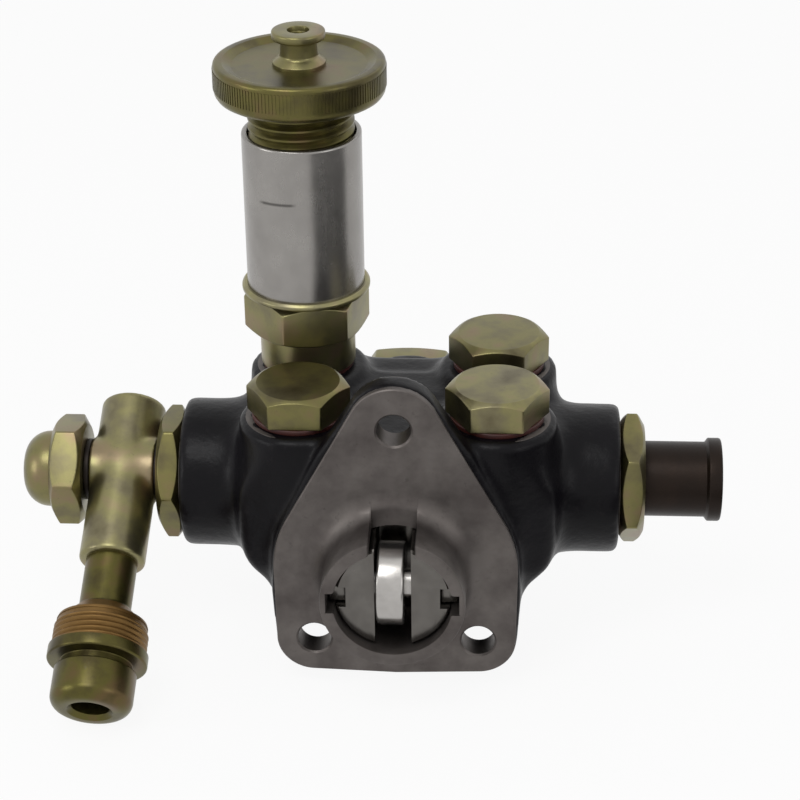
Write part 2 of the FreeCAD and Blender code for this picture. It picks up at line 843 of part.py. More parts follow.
def piston_seal():
    outer = "primer_bore / 2 - running_gap"
    seal = washer("piston_seal", outer, f"{outer} - seal_depth", "seal_width")
    return place(seal, PRIMER_X, PRIMER_Y, f"{PISTON_FOOT} + (piston_length - seal_width) / 2")


def primer_rod():
    """The rod from the piston to the cap on the knob, with the foot that the piston traps."""
    body = new_body("primer_rod")
    rod, foot = "rod_diameter / 2", "rod_foot_diameter / 2"
    start = f"({PISTON_FOOT} + piston_floor + running_gap)"
    length = f"{KNOB_TOP} - knob_dish + cap_neck_height - {start}"
    profile = [("0", "0"), (foot, "0"), (foot, "rod_foot_thickness"), (rod, "rod_foot_thickness")]
    turned(body, "rod_turned", profile + [(rod, length), ("0", length)])
    return place(body, PRIMER_X, PRIMER_Y, start)


def primer_knob():
    """The dished knob with its rounded rim and the sleeve that screws into the barrel's mouth."""
    body = new_body("primer_knob")
    outer, dish = "knob_diameter / 2", "knob_diameter / 2 - knob_rim_width"
    sleeve, bore = "primer_mouth_bore / 2 - running_gap", "knob_skirt_bore / 2"
    hole, web = "rod_diameter / 2 + thread_gap", "knob_web"
    turned(
        body,
        "knob_turned",
        [
            (hole, web),
            (bore, web),
            (bore, "-knob_skirt_length"),
            (f"{sleeve} - thread_start", "-knob_skirt_length"),
            (sleeve, "thread_start - knob_skirt_length"),
            (sleeve, "0"),
            (f"{outer} - knob_foot_round", "0", "knob_foot_round", 1),
            (outer, "knob_foot_round"),
            (outer, "knob_thickness - knob_edge", "knob_edge", 1),
            (f"{outer} - knob_edge", "knob_thickness"),
            (dish, "knob_thickness"),
            (f"{dish} - 2 * knob_dish", "knob_thickness - knob_dish"),
            (hole, "knob_thickness - knob_dish"),
        ],
    )
    return place(body, PRIMER_X, PRIMER_Y, KNOB_UNDERSIDE)


def knob_cap():
    """The turned cap nut that holds the knob on the rod: flared base, neck and flat head."""
    body = new_body("knob_cap")
    hole = "rod_diameter / 2 + thread_gap"
    neck, head = "cap_neck_diameter / 2", "cap_head_diameter / 2"
    top = "cap_neck_height + cap_head_height"
    turned(
        body,
        "cap_turned",
        [
            (hole, "0"),
            ("cap_base_diameter / 2", "0"),
            ("cap_base_diameter / 2", "cap_base_lip"),
            (neck, "cap_base_height"),
            (neck, "cap_neck_height"),
            (head, "cap_neck_height"),
            (head, f"{top} - edge_break"),
            (f"{head} - edge_break", top),
            ("cap_recess_diameter / 2", top),
            ("cap_recess_diameter / 2", "cap_neck_height + cap_recess_floor"),
            ("0", "cap_neck_height + cap_recess_floor"),
            ("0", "cap_neck_height"),
            (hole, "cap_neck_height"),
        ],
    )
    return place(body, PRIMER_X, PRIMER_Y, f"{KNOB_TOP} - knob_dish")


def tappet_body():
    """The roller tappet: slotted head, solid floor, cross bore and side pockets."""
    body = new_body("tappet_blank")
    outer, length = "tappet_diameter / 2", f"{ROLLER_SLOT_DEPTH} + tappet_floor"
    turned(
        body,
        "tappet_turned",
        [
            ("0", "0"),
            (f"{outer} - edge_break", "0"),
            (outer, "edge_break"),
            (outer, f"{length} - edge_break"),
            (f"{outer} - edge_break", length),
            ("0", length),
        ],
    )
    place(body, "0", "-tappet_front", "0", INWARD)
    wide, tall = "roller_width + 2 * roller_side_gap", "tappet_diameter + 2 * overrun"
    slot = block_solid("roller_slot", wide, f"{ROLLER_SLOT_DEPTH} + overrun", tall)
    place(slot, f"-({wide}) / 2", "-tappet_front - overrun", f"-({tall}) / 2")
    cross = rod_solid("pin_bore", "pin_diameter / 2 + thread_gap", tall)
    place(cross, f"-({tall}) / 2", "-roller_centre", "0", RIGHT)
    cuts = [slot, cross]
    for side, sign in (("left", "-"), ("right", "")):
        depth = "guide_block_front + guide_block_length + running_gap + overrun"
        pocket = block_solid(f"block_pocket_{side}", "tappet_diameter", depth, "guide_slot_width")
        edge = "(guide_slot_span / 2 - guide_block_reach)"
        start = f"-{edge} - tappet_diameter" if side == "left" else edge
        cuts.append(place(pocket, start, "-tappet_front - overrun", "-guide_slot_width / 2"))
    return cut_from("tappet_body", body, cuts)


def roller():
    body = new_body("roller")
    outer, bore, half = "roller_diameter / 2", "pin_diameter / 2 + running_gap", "roller_width / 2"
    turned(
        body,
        "roller_turned",
        [
            (bore, f"-{half}"),
            (f"{outer} - edge_break", f"-{half}"),
            (outer, f"edge_break - {half}"),
            (outer, f"{half} - edge_break"),
            (f"{outer} - edge_break", half),
            (bore, half),
        ],
    )
    return place(body, "roller_side_shift", "-roller_centre", "0", RIGHT)


def roller_pin():
    """The pin that carries the roller, from guide block to guide block."""
    reach = "guide_slot_span / 2 - guide_block_reach"
    pin = rod_solid("roller_pin", "pin_diameter / 2", f"2 * ({reach})")
    pin.Label = "roller_pin"
    return place(pin, f"-({reach})", "-roller_centre", "0", RIGHT)


def guide_blocks():
    """Two sliding blocks at the pin's ends that keep the tappet from turning in the hub."""
    blocks = []
    thick = "guide_slot_width - 2 * running_gap"
    depth = "guide_block_reach - running_gap"
    left, right = "running_gap - guide_slot_span / 2", "guide_slot_span / 2 - guide_block_reach"
    for side, start in (("left", left), ("right", right)):
        item = block_solid(f"guide_block_{side}", depth, "guide_block_length", thick)
        blocks.append(place(item, start, "guide_block_front - tappet_front", f"-({thick}) / 2"))
    group = doc.addObject("Part::Compound", "guide_blocks")
    group.Links = blocks
    group.Label = "guide_blocks"
    return group


def tappet_group():
    """Tappet, roller, pin and blocks, with the spindle behind them."""
    spindle = rod_solid("pressure_spindle", "spindle_diameter / 2", f"{PLUNGER_FRONT} - {TAPPET_REAR}")
    spindle.Label = "pressure_spindle"
    place(spindle, "0", TAPPET_REAR, "0", INWARD)
    return [tappet_body(), roller(), roller_pin(), guide_blocks(), spindle]


def plunger():
    """The double-acting plunger with the pocket that holds its spring."""
    body = new_body("plunger")
    outer, pocket = "plunger_diameter / 2", "plunger_pocket_diameter / 2"
    floor = "plunger_length - plunger_pocket_depth"
    turned(
        body,
        "plunger_turned",
        [
            ("0", "0"),
            (f"{outer} - edge_break", "0"),
            (outer, "edge_break"),
            (outer, "plunger_length"),
            (pocket, "plunger_length"),
            (pocket, floor),
            ("0", floor),
        ],
    )
    return place(body, "0", PLUNGER_FRONT, "0", INWARD)


def rear_plug():
    """The large hexagon plug that closes the spring chamber at the back."""
    body = new_body("rear_plug")
    hex_head(body, "rear_plug_head_pad", "rear_plug_hex", "washer_thickness", "rear_plug_head")
    thread, pocket = "rear_plug_thread / 2", "plunger_pocket_diameter / 2"
    turned(
        body,
        "rear_plug_shank",
        [
            ("0", "washer_thickness"),
            ("0", "-rear_plug_depth"),
            (f"{thread} - thread_start", "-rear_plug_depth"),
            (thread, "thread_start - rear_plug_depth"),
            (thread, "washer_thickness"),
        ],
    )
    floor = "rear_plug_pocket - rear_plug_depth"
    profile = [("0", "-rear_plug_depth"), (pocket, "-rear_plug_depth"), (pocket, floor), ("0", floor)]
    turned(body, "rear_plug_pocket_cut", profile, cut=True)
    return place(body, "0", "barrel_rear", "0", INWARD)


def plunger_group():
    """Plunger, its spring, and the rear plug with its washer."""
    seat = f"{PLUNGER_FRONT} + plunger_length - plunger_pocket_depth"
    spring = coil_spring(
        "plunger_spring",
        "plunger_spring_radius",
        "plunger_spring_wire",
        "plunger_spring_coils",
        f"barrel_rear - rear_plug_depth + rear_plug_pocket - ({seat})",
    )
    place(spring, "0", seat, "0", INWARD)
    seal = washer("rear_plug_washer", "rear_washer_diameter / 2", "rear_plug_thread / 2 + thread_gap")
    place(seal, "0", "barrel_rear", "0", INWARD)
    return [plunger(), spring, rear_plug(), seal]


def adaptor(name, direction, turn, bore, bore_depth, through):
    """A screwed hexagon adaptor: outward socket of one bore, with a smaller one right through."""
    body = new_body(name)
    hex_head(body, name + "_hex", "adaptor_hex", "0", "adaptor_head", both_ends=True)
    thread = "arm_thread_diameter / 2"
    shank_end = "adaptor_clearance - arm_thread_depth"
    turned(
        body,
        name + "_shank",
        [
            ("0", shank_end),
            (f"{thread} - thread_start", shank_end),
            (thread, f"{shank_end} + thread_start"),
            (thread, "0"),
            ("0", "0"),
        ],
    )
    wide, narrow = f"({bore}) / 2", f"({through}) / 2"
    turned(
        body,
        name + "_bore",
        [
            ("0", shank_end),
            (narrow, shank_end),
            (narrow, f"adaptor_head - ({bore_depth})"),
            (wide, f"adaptor_head - ({bore_depth})"),
            (wide, "adaptor_head"),
            ("0", "adaptor_head"),
        ],
        cut=True,
    )
    sign = "-" if direction == LEFT else ""
    return place(body, f"{sign}arm_reach", "arm_row", "arm_height", direction, value(turn))


BANJO_NEAR = "(arm_reach + adaptor_head + washer_thickness)"
BANJO_CENTRE = f"({BANJO_NEAR} + banjo_diameter / 2)"
BANJO_FAR = f"({BANJO_NEAR} + banjo_diameter)"
NUT_SEAT = f"({BANJO_FAR} + washer_thickness)"
BANJO_AXIS = f"-{BANJO_CENTRE}", "arm_row", "arm_height"
LEG_SHARES = "sin(leg_lean)", "cos(leg_lean) * cos(leg_angle)", "cos(leg_lean) * sin(leg_angle)"


def leg_direction():
    """The way the pipe's leg points: to the front, down by its angle and outward by its lean."""
    return FreeCAD.Vector(*(-value(share) for share in LEG_SHARES))


def banjo_body():
    """The round banjo body: a bar bored along its length and across, with faced bosses."""
    bar = new_body("banjo_bar")
    radius = "banjo_diameter / 2"
    start, end = "-banjo_head_length", "banjo_leg_length"
    turned(
        bar,
        "banjo_bar_turned",
        [
            ("0", start),
            (f"{radius} - edge_break", start),
            (radius, "edge_break - banjo_head_length"),
            (radius, f"{end} - edge_break"),
            (f"{radius} - edge_break", end),
            ("0", end),
        ],
    )
    place(bar, *BANJO_AXIS, leg_direction())
    cheeks = rod_solid("banjo_boss", "banjo_boss_diameter / 2", "banjo_diameter")
    place(cheeks, f"-{BANJO_FAR}", "arm_row", "arm_height", RIGHT)
    across = rod_solid("banjo_cross_bore", "banjo_bore / 2", "banjo_diameter + 2 * overrun")
    place(across, f"-{BANJO_FAR} - overrun", "arm_row", "arm_height", RIGHT)
    along = rod_solid("banjo_feed", "banjo_feed_bore / 2", "banjo_leg_length + overrun")
    place(along, *BANJO_AXIS, leg_direction())
    cuts = [across, along]
    for side, start in (("far", f"-{BANJO_FAR} - overrun"), ("near", f"-{BANJO_NEAR}")):
        spot = rod_solid(f"banjo_spot_face_{side}", "banjo_washer_diameter / 2 + overrun", "overrun")
        cuts.append(place(spot, start, "arm_row", "arm_height", RIGHT))
    return cut_from("banjo_body", joined("banjo_blank", [bar, cheeks]), cuts)


def banjo_washers():
    """The two sealing washers, one on each side of the banjo."""
    rings = []
    for name, start in (("near", BANJO_NEAR), ("far", NUT_SEAT)):
        ring = washer(f"banjo_washer_{name}", "banjo_washer_diameter / 2", "stud_diameter / 2 + thread_gap")
        rings.append(place(ring, f"-{start}", "arm_row", "arm_height", RIGHT))
    group = doc.addObject("Part::Compound", "banjo_washers")
    group.Links = rings
    group.Label = "banjo_washers"
    return group


def hollow_stud():
    """The hollow stud through the banjo, screwed into the adaptor and into the cap nut."""
    body = new_body("stud_blank")
    radius, feed = "stud_diameter / 2", "stud_feed_bore / 2"
    start = f"({BANJO_NEAR} - washer_thickness - stud_engagement)"
    length = f"{NUT_SEAT} + cap_nut_hex_length - overrun - {start}"
    turned(
        body,
        "stud_turned",
        [
            (feed, "0"),
            (f"{radius} - thread_start", "0"),
            (radius, "thread_start"),
            (radius, f"{length} - thread_start"),
            (f"{radius} - thread_start", length),
            ("0", length),
            ("0", f"{length} - stud_end_wall"),
            (feed, f"{length} - stud_end_wall"),
        ],
    )
    place(body, f"-{start}", "arm_row", "arm_height", LEFT)
    hole = rod_solid("stud_cross_hole", "stud_feed_bore / 2", "stud_diameter + 2 * overrun")
    place(hole, f"-{BANJO_CENTRE}", "arm_row", "arm_height - stud_diameter / 2 - overrun")
    return cut_from("hollow_stud", body, [hole])


def cap_nut():
    """The domed cap nut that closes the inlet side."""
    body = new_body("cap_nut")
    hex_head(body, "cap_nut_hex_pad", "cap_nut_hex", "0", "cap_nut_hex_length", both_ends=True)
    dome, base = "cap_nut_dome_diameter / 2", "cap_nut_hex_length + cap_nut_dome_straight"
    turned(
        body,
        "cap_nut_dome",
        [
            ("0", "0"),
            (dome, "0"),
            (dome, base, "cap_nut_dome_round", 1),
            (f"{dome} - cap_nut_dome_round", f"{base} + cap_nut_dome_round"),
            ("0", f"{base} + cap_nut_dome_round"),
        ],
    )
    bore = "stud_diameter / 2 + thread_gap"
    profile = [("0", "0"), (bore, "0"), (bore, "cap_nut_hex_length"), ("0", "cap_nut_hex_length")]
    turned(body, "cap_nut_bore", profile, cut=True)
    return place(body, f"-{NUT_SEAT}", "arm_row", "arm_height", LEFT, value("cap_nut_turn"))


def union_stub():
    """The pipe union at the end of the leg: neck, threaded part, ring, groove and rounded nose."""
    body = new_body("union_stub")
    neck, thread, ring = (f"union_{part}_diameter / 2" for part in ("neck", "thread", "ring"))
    groove, nose, bore = "union_groove_diameter / 2", "union_nose_diameter / 2", "union_bore / 2"
    cone = "union_neck_length + union_cone_length"
    crest = "union_neck_length + union_thread_length"
    end = f"{crest} + union_ring_length"
    shoulder = f"({end} + union_groove_length)"
    tip = f"{shoulder} + union_nose_length"
    turned(
        body,
        "union_turned",
        [
            ("banjo_feed_bore / 2", "0"),
            (neck, "0"),
            (neck, "union_neck_length"),
            (thread, cone),
            (thread, crest),
            (ring, crest),
            (ring, f"{end} - edge_break"),
            (f"{ring} - edge_break", end),
            (groove, end),
            (groove, shoulder),
            (f"{nose} - edge_break", shoulder),
            (nose, f"{shoulder} + edge_break"),
            (nose, f"{tip} - union_nose_round", "union_nose_round", 1),
            (f"{nose} - union_nose_round", tip),
            (f"{bore} + union_mouth_chamfer", tip),
            (bore, f"{tip} - union_mouth_chamfer"),
            (bore, "union_neck_length"),
            ("banjo_feed_bore / 2", f"union_neck_length - ({bore} - banjo_feed_bore / 2)"),
        ],
    )
    foot = [f"{centre} - banjo_leg_length * {share}" for centre, share in zip(BANJO_AXIS, LEG_SHARES)]
    return place(body, *foot, leg_direction())


def inlet_side():
    socket = "stud_diameter + 2 * thread_gap"
    near = adaptor("inlet_adaptor", LEFT, "inlet_hex_turn", socket, "stud_engagement", "stud_feed_bore")
    return [near, banjo_body(), banjo_washers(), hollow_stud(), cap_nut(), union_stub()]


def hose_nipple():
    """The plain hose nipple with its retaining bead, pressed into the outlet adaptor."""
    body = new_body("hose_nipple")
    outer, bead = "nipple_diameter / 2", "nipple_bead_diameter / 2"
    bore, spigot = "nipple_bore / 2", "nipple_spigot_diameter / 2"
    swell = "nipple_length - nipple_bead_length"
    turned(
        body,
        "nipple_turned",
        [
            (bore, "-nipple_spigot_length"),
            (spigot, "-nipple_spigot_length"),
            (spigot, "0"),
            (outer, "0"),
            (outer, f"{swell} - edge_break"),
            (bead, swell),
            (bead, "nipple_length - edge_break"),
            (f"{bead} - edge_break", "nipple_length"),
            (bore, "nipple_length"),
        ],
    )
    return place(body, "arm_reach + adaptor_head", "arm_row", "arm_height", RIGHT)


def outlet_side():
    far = adaptor(
        "outlet_adaptor",
        RIGHT,
        "outlet_hex_turn",
        "nipple_spigot_diameter + 2 * thread_gap",
        "nipple_spigot_length",
        "nipple_bore",
    )
    return [far, hose_nipple()]


def primer():
    return [
        primer_base(),
        primer_barrel(),
        primer_collar(),
        primer_stop_ring(),
        primer_piston(),
        piston_seal(),
        primer_rod(),
        primer_knob(),
        knob_cap(),
    ]


def write_parts(pieces):
    """Checks every object and every piece, then writes one file for each piece."""
    for item in doc.Objects:
        if {"Invalid", "Error"} & set(item.State):
            raise RuntimeError(f"{item.Name} failed: {item.State}")
    for piece in pieces:
        shape = piece.Shape
        if shape.isNull() or not shape.isValid() or not shape.Solids:
            raise RuntimeError(f"{piece.Label} has no valid solid")
    for piece in pieces:
        piece.Shape.exportStep(f"parts/{piece.Label}.step")


pieces = housing() + plugs() + valves() + primer()
pieces += tappet_group() + plunger_group() + inlet_side() + outlet_side()
doc.recompute()
write_parts(pieces)
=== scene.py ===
"""Hand primer pump: the visible pieces, finishes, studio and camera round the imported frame."""

import math

import bmesh
import bpy
from mathutils import Matrix, Vector


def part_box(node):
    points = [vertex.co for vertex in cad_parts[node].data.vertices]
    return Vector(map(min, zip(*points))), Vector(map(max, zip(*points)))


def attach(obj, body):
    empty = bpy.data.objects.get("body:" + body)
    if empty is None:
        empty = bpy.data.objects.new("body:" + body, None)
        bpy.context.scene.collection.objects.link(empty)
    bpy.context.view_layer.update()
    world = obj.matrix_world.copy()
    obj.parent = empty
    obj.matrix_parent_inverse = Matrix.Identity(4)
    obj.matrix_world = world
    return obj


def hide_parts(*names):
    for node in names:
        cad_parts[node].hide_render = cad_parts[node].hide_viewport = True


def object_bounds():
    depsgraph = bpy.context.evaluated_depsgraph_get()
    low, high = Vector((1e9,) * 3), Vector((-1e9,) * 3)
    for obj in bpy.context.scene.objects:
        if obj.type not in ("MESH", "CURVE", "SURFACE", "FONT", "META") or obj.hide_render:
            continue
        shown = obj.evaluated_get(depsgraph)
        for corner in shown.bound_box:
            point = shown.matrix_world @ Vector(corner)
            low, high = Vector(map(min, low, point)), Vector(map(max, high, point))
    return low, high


bl_info = {
    "name": "Hand primer pump",
    "version": (1, 0, 0),
    "blender": (4, 5, 0),
    "location": "View3D > Sidebar > Primer pump",
    "description": "Builds the visible pieces of a fuel feed pump with a hand primer",
    "category": "Add Mesh",
}

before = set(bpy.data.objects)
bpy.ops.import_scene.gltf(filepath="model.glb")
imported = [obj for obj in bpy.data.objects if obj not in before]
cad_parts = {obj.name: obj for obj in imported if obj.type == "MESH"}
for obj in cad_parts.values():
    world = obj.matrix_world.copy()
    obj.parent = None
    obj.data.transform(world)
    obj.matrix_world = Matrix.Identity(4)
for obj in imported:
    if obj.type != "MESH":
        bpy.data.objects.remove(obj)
CAD_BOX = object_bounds()
MM = 0.001
TURN = 2 * math.pi
UP = (0, 0, 1)
INWARD = (0, 1, 0)
RIGHT = (1, 0, 0)
LEFT = (-1, 0, 0)
WHITE = (1.0, 1.0, 1.0, 1.0)


def node_box(node):
    """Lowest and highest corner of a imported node, in millimetres."""
    low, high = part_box(node)
    return low / MM, high / MM


def node_middle(node):
    low, high = node_box(node)
    return (low + high) / 2


PRIMER = node_middle("primer_barrel")
ARM = node_middle("outlet_adaptor")
BANJO = node_middle("banjo_washers")
LEG_DROP, LEG_LEAN = math.radians(31), math.radians(1.8)
LEG = Vector((
    -math.sin(LEG_LEAN),
    -math.cos(LEG_LEAN) * math.cos(LEG_DROP),
    -math.cos(LEG_LEAN) * math.sin(LEG_DROP),
))


def clean(value):
    """A measure of the frame in millimetres, without the digits that packing leaves."""
    return round(value, 3)


TOWER_SIDE = clean(node_middle("plug_front_right").x)
TOWER_ROWS = [clean(node_middle(f"plug_{row}_right").y) for row in ("front", "rear")]
TOWER_TOP, SEAT_LEVEL = (clean(corner.z) for corner in node_box("sealing_washer_front_right"))
SHANK_FOOT = clean(node_box("plug_front_right")[0].z)
POCKET_TOP = SHANK_FOOT + 5.1
ARM_ROW, ARM_LEVEL = clean(ARM.y), clean(ARM.z)
ARM_FACE, BARREL_END = (clean(part) for part in node_box("housing")[1][:2])
ARM_END = clean(node_box("outlet_adaptor")[1].x)
REAR_SEAT = clean(node_box("rear_plug_washer")[1].y)
BASE_TOP, COLLAR_TOP = (clean(corner.z) for corner in node_box("primer_collar"))
BARREL_FOOT, BARREL_TOP = (clean(corner.z) for corner in node_box("primer_barrel"))
WASHER = 1.5
CAP_NUT_FACE, CAP_NUT_END = (-clean(corner.x) for corner in reversed(node_box("cap_nut")))
BASE_HEX_FOOT = BASE_TOP - 12.5
ARM_HEX, PLUG_HEX, CAP_HEX, PRIMER_HEX, REAR_HEX = 32, 24, 27, 30, 36
ROLLER_DEPTH = -5


class Value:
    """A socket of a node tree; arithmetic on it adds Math nodes."""

    def __init__(self, tree, socket):
        self.tree = tree
        self.socket = socket

    def math(self, operation, *others):
        return self.tree.node("ShaderNodeMath", {"operation": operation}, [self, *others])

    def __add__(self, other):
        return self.math("ADD", other)

    __radd__ = __add__

    def __sub__(self, other):
        return self.math("SUBTRACT", other)

    def __rsub__(self, other):
        return self.tree.node("ShaderNodeMath", {"operation": "SUBTRACT"}, [other, self])

    def __mul__(self, other):
        return self.math("MULTIPLY", other)

    __rmul__ = __mul__

    def __truediv__(self, other):
        return self.math("DIVIDE", other)

    def __rtruediv__(self, other):
        return self.tree.node("ShaderNodeMath", {"operation": "DIVIDE"}, [other, self])

    def __abs__(self):
        return self.math("ABSOLUTE")

    def root(self):
        return self.math("SQRT")

    def least(self, other):
        return self.math("MINIMUM", other)

    def most(self, other):
        return self.math("MAXIMUM", other)

    def blended(self, other, reach):
        """The lesser of two distances, with the corner between them filled."""
        return self.math("SMOOTH_MIN", other, reach)

    def trimmed(self, other, reach):
        """The greater of two distances, with the corner between them rounded."""
        return self.math("SMOOTH_MAX", other, reach)


class Tree:
    """A node tree that is filled one node at a time."""

    def __init__(self, nodes):
        self.nodes = nodes

    def node(self, kind, settings=None, inputs=None, output=0):
        """Adds a node, sets it up, feeds its sockets and returns one of its outputs."""
        made = self.nodes.nodes.new(kind)
        for name, setting in (settings or {}).items():
            if name == "stops":
                fill_ramp(made.color_ramp, setting)
            else:
                setattr(made, name, setting)
        fed = inputs if isinstance(inputs, dict) else dict(enumerate(inputs or []))
        for key, given in fed.items():
            if isinstance(given, Value):
                self.nodes.links.new(given.socket, made.inputs[key])
            else:
                made.inputs[key].default_value = given
        return Value(self, made.outputs[output]) if len(made.outputs) else None

    def place(self):
        """Object coordinates in millimetres."""
        spot = self.node("ShaderNodeTexCoord", output="Object")
        return self.node("ShaderNodeVectorMath", {"operation": "SCALE"}, {"Vector": spot, "Scale": 1 / MM})

    def noise(self, spot, scale, detail=3, rough=0.5):
        sockets = {"Vector": spot, "Scale": scale, "Detail": detail, "Roughness": rough}
        return self.node("ShaderNodeTexNoise", None, sockets)

    def stretched(self, spot, factors):
        return self.node("ShaderNodeVectorMath", {"operation": "MULTIPLY"}, [spot, factors])

    def mix(self, factor, first, second):
        return self.node("ShaderNodeMix", {"data_type": "RGBA"}, {0: factor, 6: first, 7: second}, 2)

    def between(self, value, low, high):
        """Runs from 0 at low to 1 at high."""
        return self.node("ShaderNodeMapRange", None, [value, low, high, 0.0, 1.0])

    def bump(self, height, strength, depth):
        """A normal from a height of 0 to 1 that stands for a depth in millimetres."""
        sockets = {"Height": height, "Strength": strength, "Distance": depth * MM}
        return self.node("ShaderNodeBump", None, sockets)

    def round_axis(self, spot, centre, axis):
        """Distance from an axis, and height along it, in millimetres."""
        away = self.node("ShaderNodeVectorMath", {"operation": "SUBTRACT"}, [spot, centre])
        height = self.node("ShaderNodeVectorMath", {"operation": "DOT_PRODUCT"}, [away, axis], 1)
        length = self.node("ShaderNodeVectorMath", {"operation": "LENGTH"}, [away], 1)
        return (length * length - height * height).most(0.0).root(), height

    def lines(self, value, spacing):
        """Uneven fine lines across a distance, as a tool leaves them."""
        sockets = {"W": value, "Scale": 1 / spacing, "Detail": 4.0, "Roughness": 0.7}
        return self.node("ShaderNodeTexNoise", {"noise_dimensions": "1D"}, sockets)


def fill_ramp(ramp, stops):
    while len(ramp.elements) < len(stops):
        ramp.elements.new(0.5)
    for element, (position, colour) in zip(ramp.elements, stops):
        element.position = position
        element.color = colour


def rgb(red, green, blue):
    """A colour of 0 to 255 as it is seen, turned linear."""
    return tuple((part / 255) ** 2.2 for part in (red, green, blue)) + (1.0,)


def finish(name, recipe, *details):
    """A procedural material from a recipe that returns the main shader's sockets."""
    material = bpy.data.materials.new(name)
    material.use_nodes = True
    material.node_tree.nodes.clear()
    tree = Tree(material.node_tree)
    shader = tree.node("ShaderNodeBsdfPrincipled", None, recipe(tree, *details))
    tree.node("ShaderNodeOutputMaterial", None, {"Surface": shader})
    return material


def black_paint(tree):
    """Thick glossy black paint on a casting."""
    spot = tree.place()
    cloud = tree.noise(spot, 0.09, 3)
    orange_peel = tree.noise(spot, 0.55, 2)
    sand = tree.noise(spot, 1.7, 4, 0.6)
    dust = tree.between(tree.noise(spot, 0.35, 6, 0.7), 0.56, 0.74)
    colour = tree.mix(cloud, rgb(9, 8, 10), rgb(19, 17, 22))
    return {
        "Base Color": tree.mix(dust * 0.3, colour, rgb(40, 36, 37)),
        "Roughness": 0.26 + sand * 0.16 + dust * 0.14,
        "Specular IOR Level": 0.14,
        "Normal": tree.bump(orange_peel * 0.7 + sand * 0.3, 0.6, 0.22),
    }


def milled_casting(tree):
    """The bare machined face of the casting: grey, with fine curved tool lines and stains."""
    spot = tree.place()
    away, depth = tree.round_axis(spot, (0, 0, 0), INWARD)
    cuts = tree.lines(away + depth * 0.7, 0.5)
    stain = tree.noise(spot, 0.07, 4, 0.6)
    grain = tree.noise(spot, 3.0, 2)
    spots = tree.between(tree.noise(spot, 0.45, 5, 0.65), 0.6, 0.72)
    colour = tree.mix(tree.between(stain, 0.35, 0.65), rgb(78, 73, 71), rgb(102, 97, 94))
    return {
        "Base Color": tree.mix(spots * 0.45, colour, rgb(64, 60, 58)),
        "Metallic": 0.85,
        "Roughness": 0.36 + stain * 0.14 + grain * 0.06,
        "Normal": tree.bump(cuts * 0.6 + grain * 0.4, 0.3, 0.05),
    }


def yellow_zinc(tree, centre, axis, tone=0.0):
    """Yellow passivated zinc: olive with green, straw and pink patches, over turned steel."""
    spot = tree.place()
    away, height = tree.round_axis(spot, tuple(centre), axis)
    cuts = tree.lines(away + height * 0.9, 0.35)
    patch = tree.noise(spot, 0.11, 4, 0.55)
    film = tree.noise(spot, 0.05, 2)
    scuff = tree.noise(spot, 0.8, 5, 0.7)
    stops = [
        (0.25, rgb(82 + tone, 75 + tone, 58 + tone)),
        (0.42, rgb(114 + tone, 108 + tone, 84 + tone)),
        (0.52, rgb(128 + tone, 123 + tone, 86 + tone)),
        (0.62, rgb(134 + tone, 119 + tone, 94 + tone)),
        (0.78, rgb(102 + tone, 101 + tone, 78 + tone)),
    ]
    colour = tree.node("ShaderNodeValToRGB", {"stops": stops}, [patch * 0.6 + film * 0.4])
    worn = tree.between(scuff, 0.62, 0.75)
    return {
        "Base Color": tree.mix(worn * 0.5, colour, rgb(88, 85, 70)),
        "Metallic": 0.9,
        "Roughness": 0.24 + patch * 0.16 + worn * 0.12,
        "Normal": tree.bump(cuts * 0.6 + scuff * 0.4, 0.35, 0.05),
    }


def bare_aluminium(tree, centre):
    """Turned bare aluminium with fine rings, handling marks and one dark scratch."""
    spot = tree.place()
    height = tree.round_axis(spot, tuple(centre), UP)[1]
    rings = tree.lines(height, 0.3)
    streak = tree.noise(tree.stretched(spot, (0.5, 0.5, 0.06)), 1.0, 3)
    smudge = tree.noise(spot, 0.12, 4, 0.6)
    parts = tree.node("ShaderNodeSeparateXYZ", None, [spot])
    along = Value(tree, parts.socket.node.outputs[0])
    front = Value(tree, parts.socket.node.outputs[1])
    up = Value(tree, parts.socket.node.outputs[2])
    scratch_height, scratch_middle = PRIMER.z + 12.6, PRIMER.x - 5.5
    level = scratch_height + (along - PRIMER.x) * 0.05
    near = tree.between(abs(up - level), 0.55, 0.15) * tree.between(abs(along - scratch_middle), 5.2, 3.6)
    scratch = near * tree.between(front, PRIMER.y, PRIMER.y - 4)
    colour = tree.mix(smudge, rgb(126, 123, 120), rgb(156, 153, 149))
    return {
        "Base Color": tree.mix(scratch * 0.75, colour, rgb(60, 58, 56)),
        "Metallic": 0.9,
        "Roughness": 0.17 + smudge * 0.1 + streak * 0.08,
        "Normal": tree.bump(rings * 0.8 + scratch * -0.5, 0.35, 0.04),
    }


def bright_steel(tree, shade=150):
    """Ground steel of the tappet's working pieces, with an oily film."""
    spot = tree.place()
    film = tree.noise(spot, 0.16, 4, 0.6)
    grain = tree.noise(tree.stretched(spot, (6.0, 0.5, 0.5)), 1.0, 2)
    colour = tree.mix(film, rgb(shade - 28, shade - 31, shade - 34), rgb(shade + 12, shade + 9, shade + 5))
    return {
        "Base Color": colour,
        "Metallic": 0.95,
        "Roughness": 0.16 + film * 0.16,
        "Normal": tree.bump(grain, 0.25, 0.03),
    }


def dark_steel(tree, first, second):
    """Dark oiled or browned steel."""
    spot = tree.place()
    cloud = tree.noise(spot, 0.14, 4, 0.6)
    grain = tree.noise(spot, 1.6, 4, 0.6)
    return {
        "Base Color": tree.mix(cloud, rgb(*first), rgb(*second)),
        "Metallic": 0.75,
        "Roughness": 0.34 + grain * 0.16,
        "Normal": tree.bump(grain, 0.4, 0.06),
    }


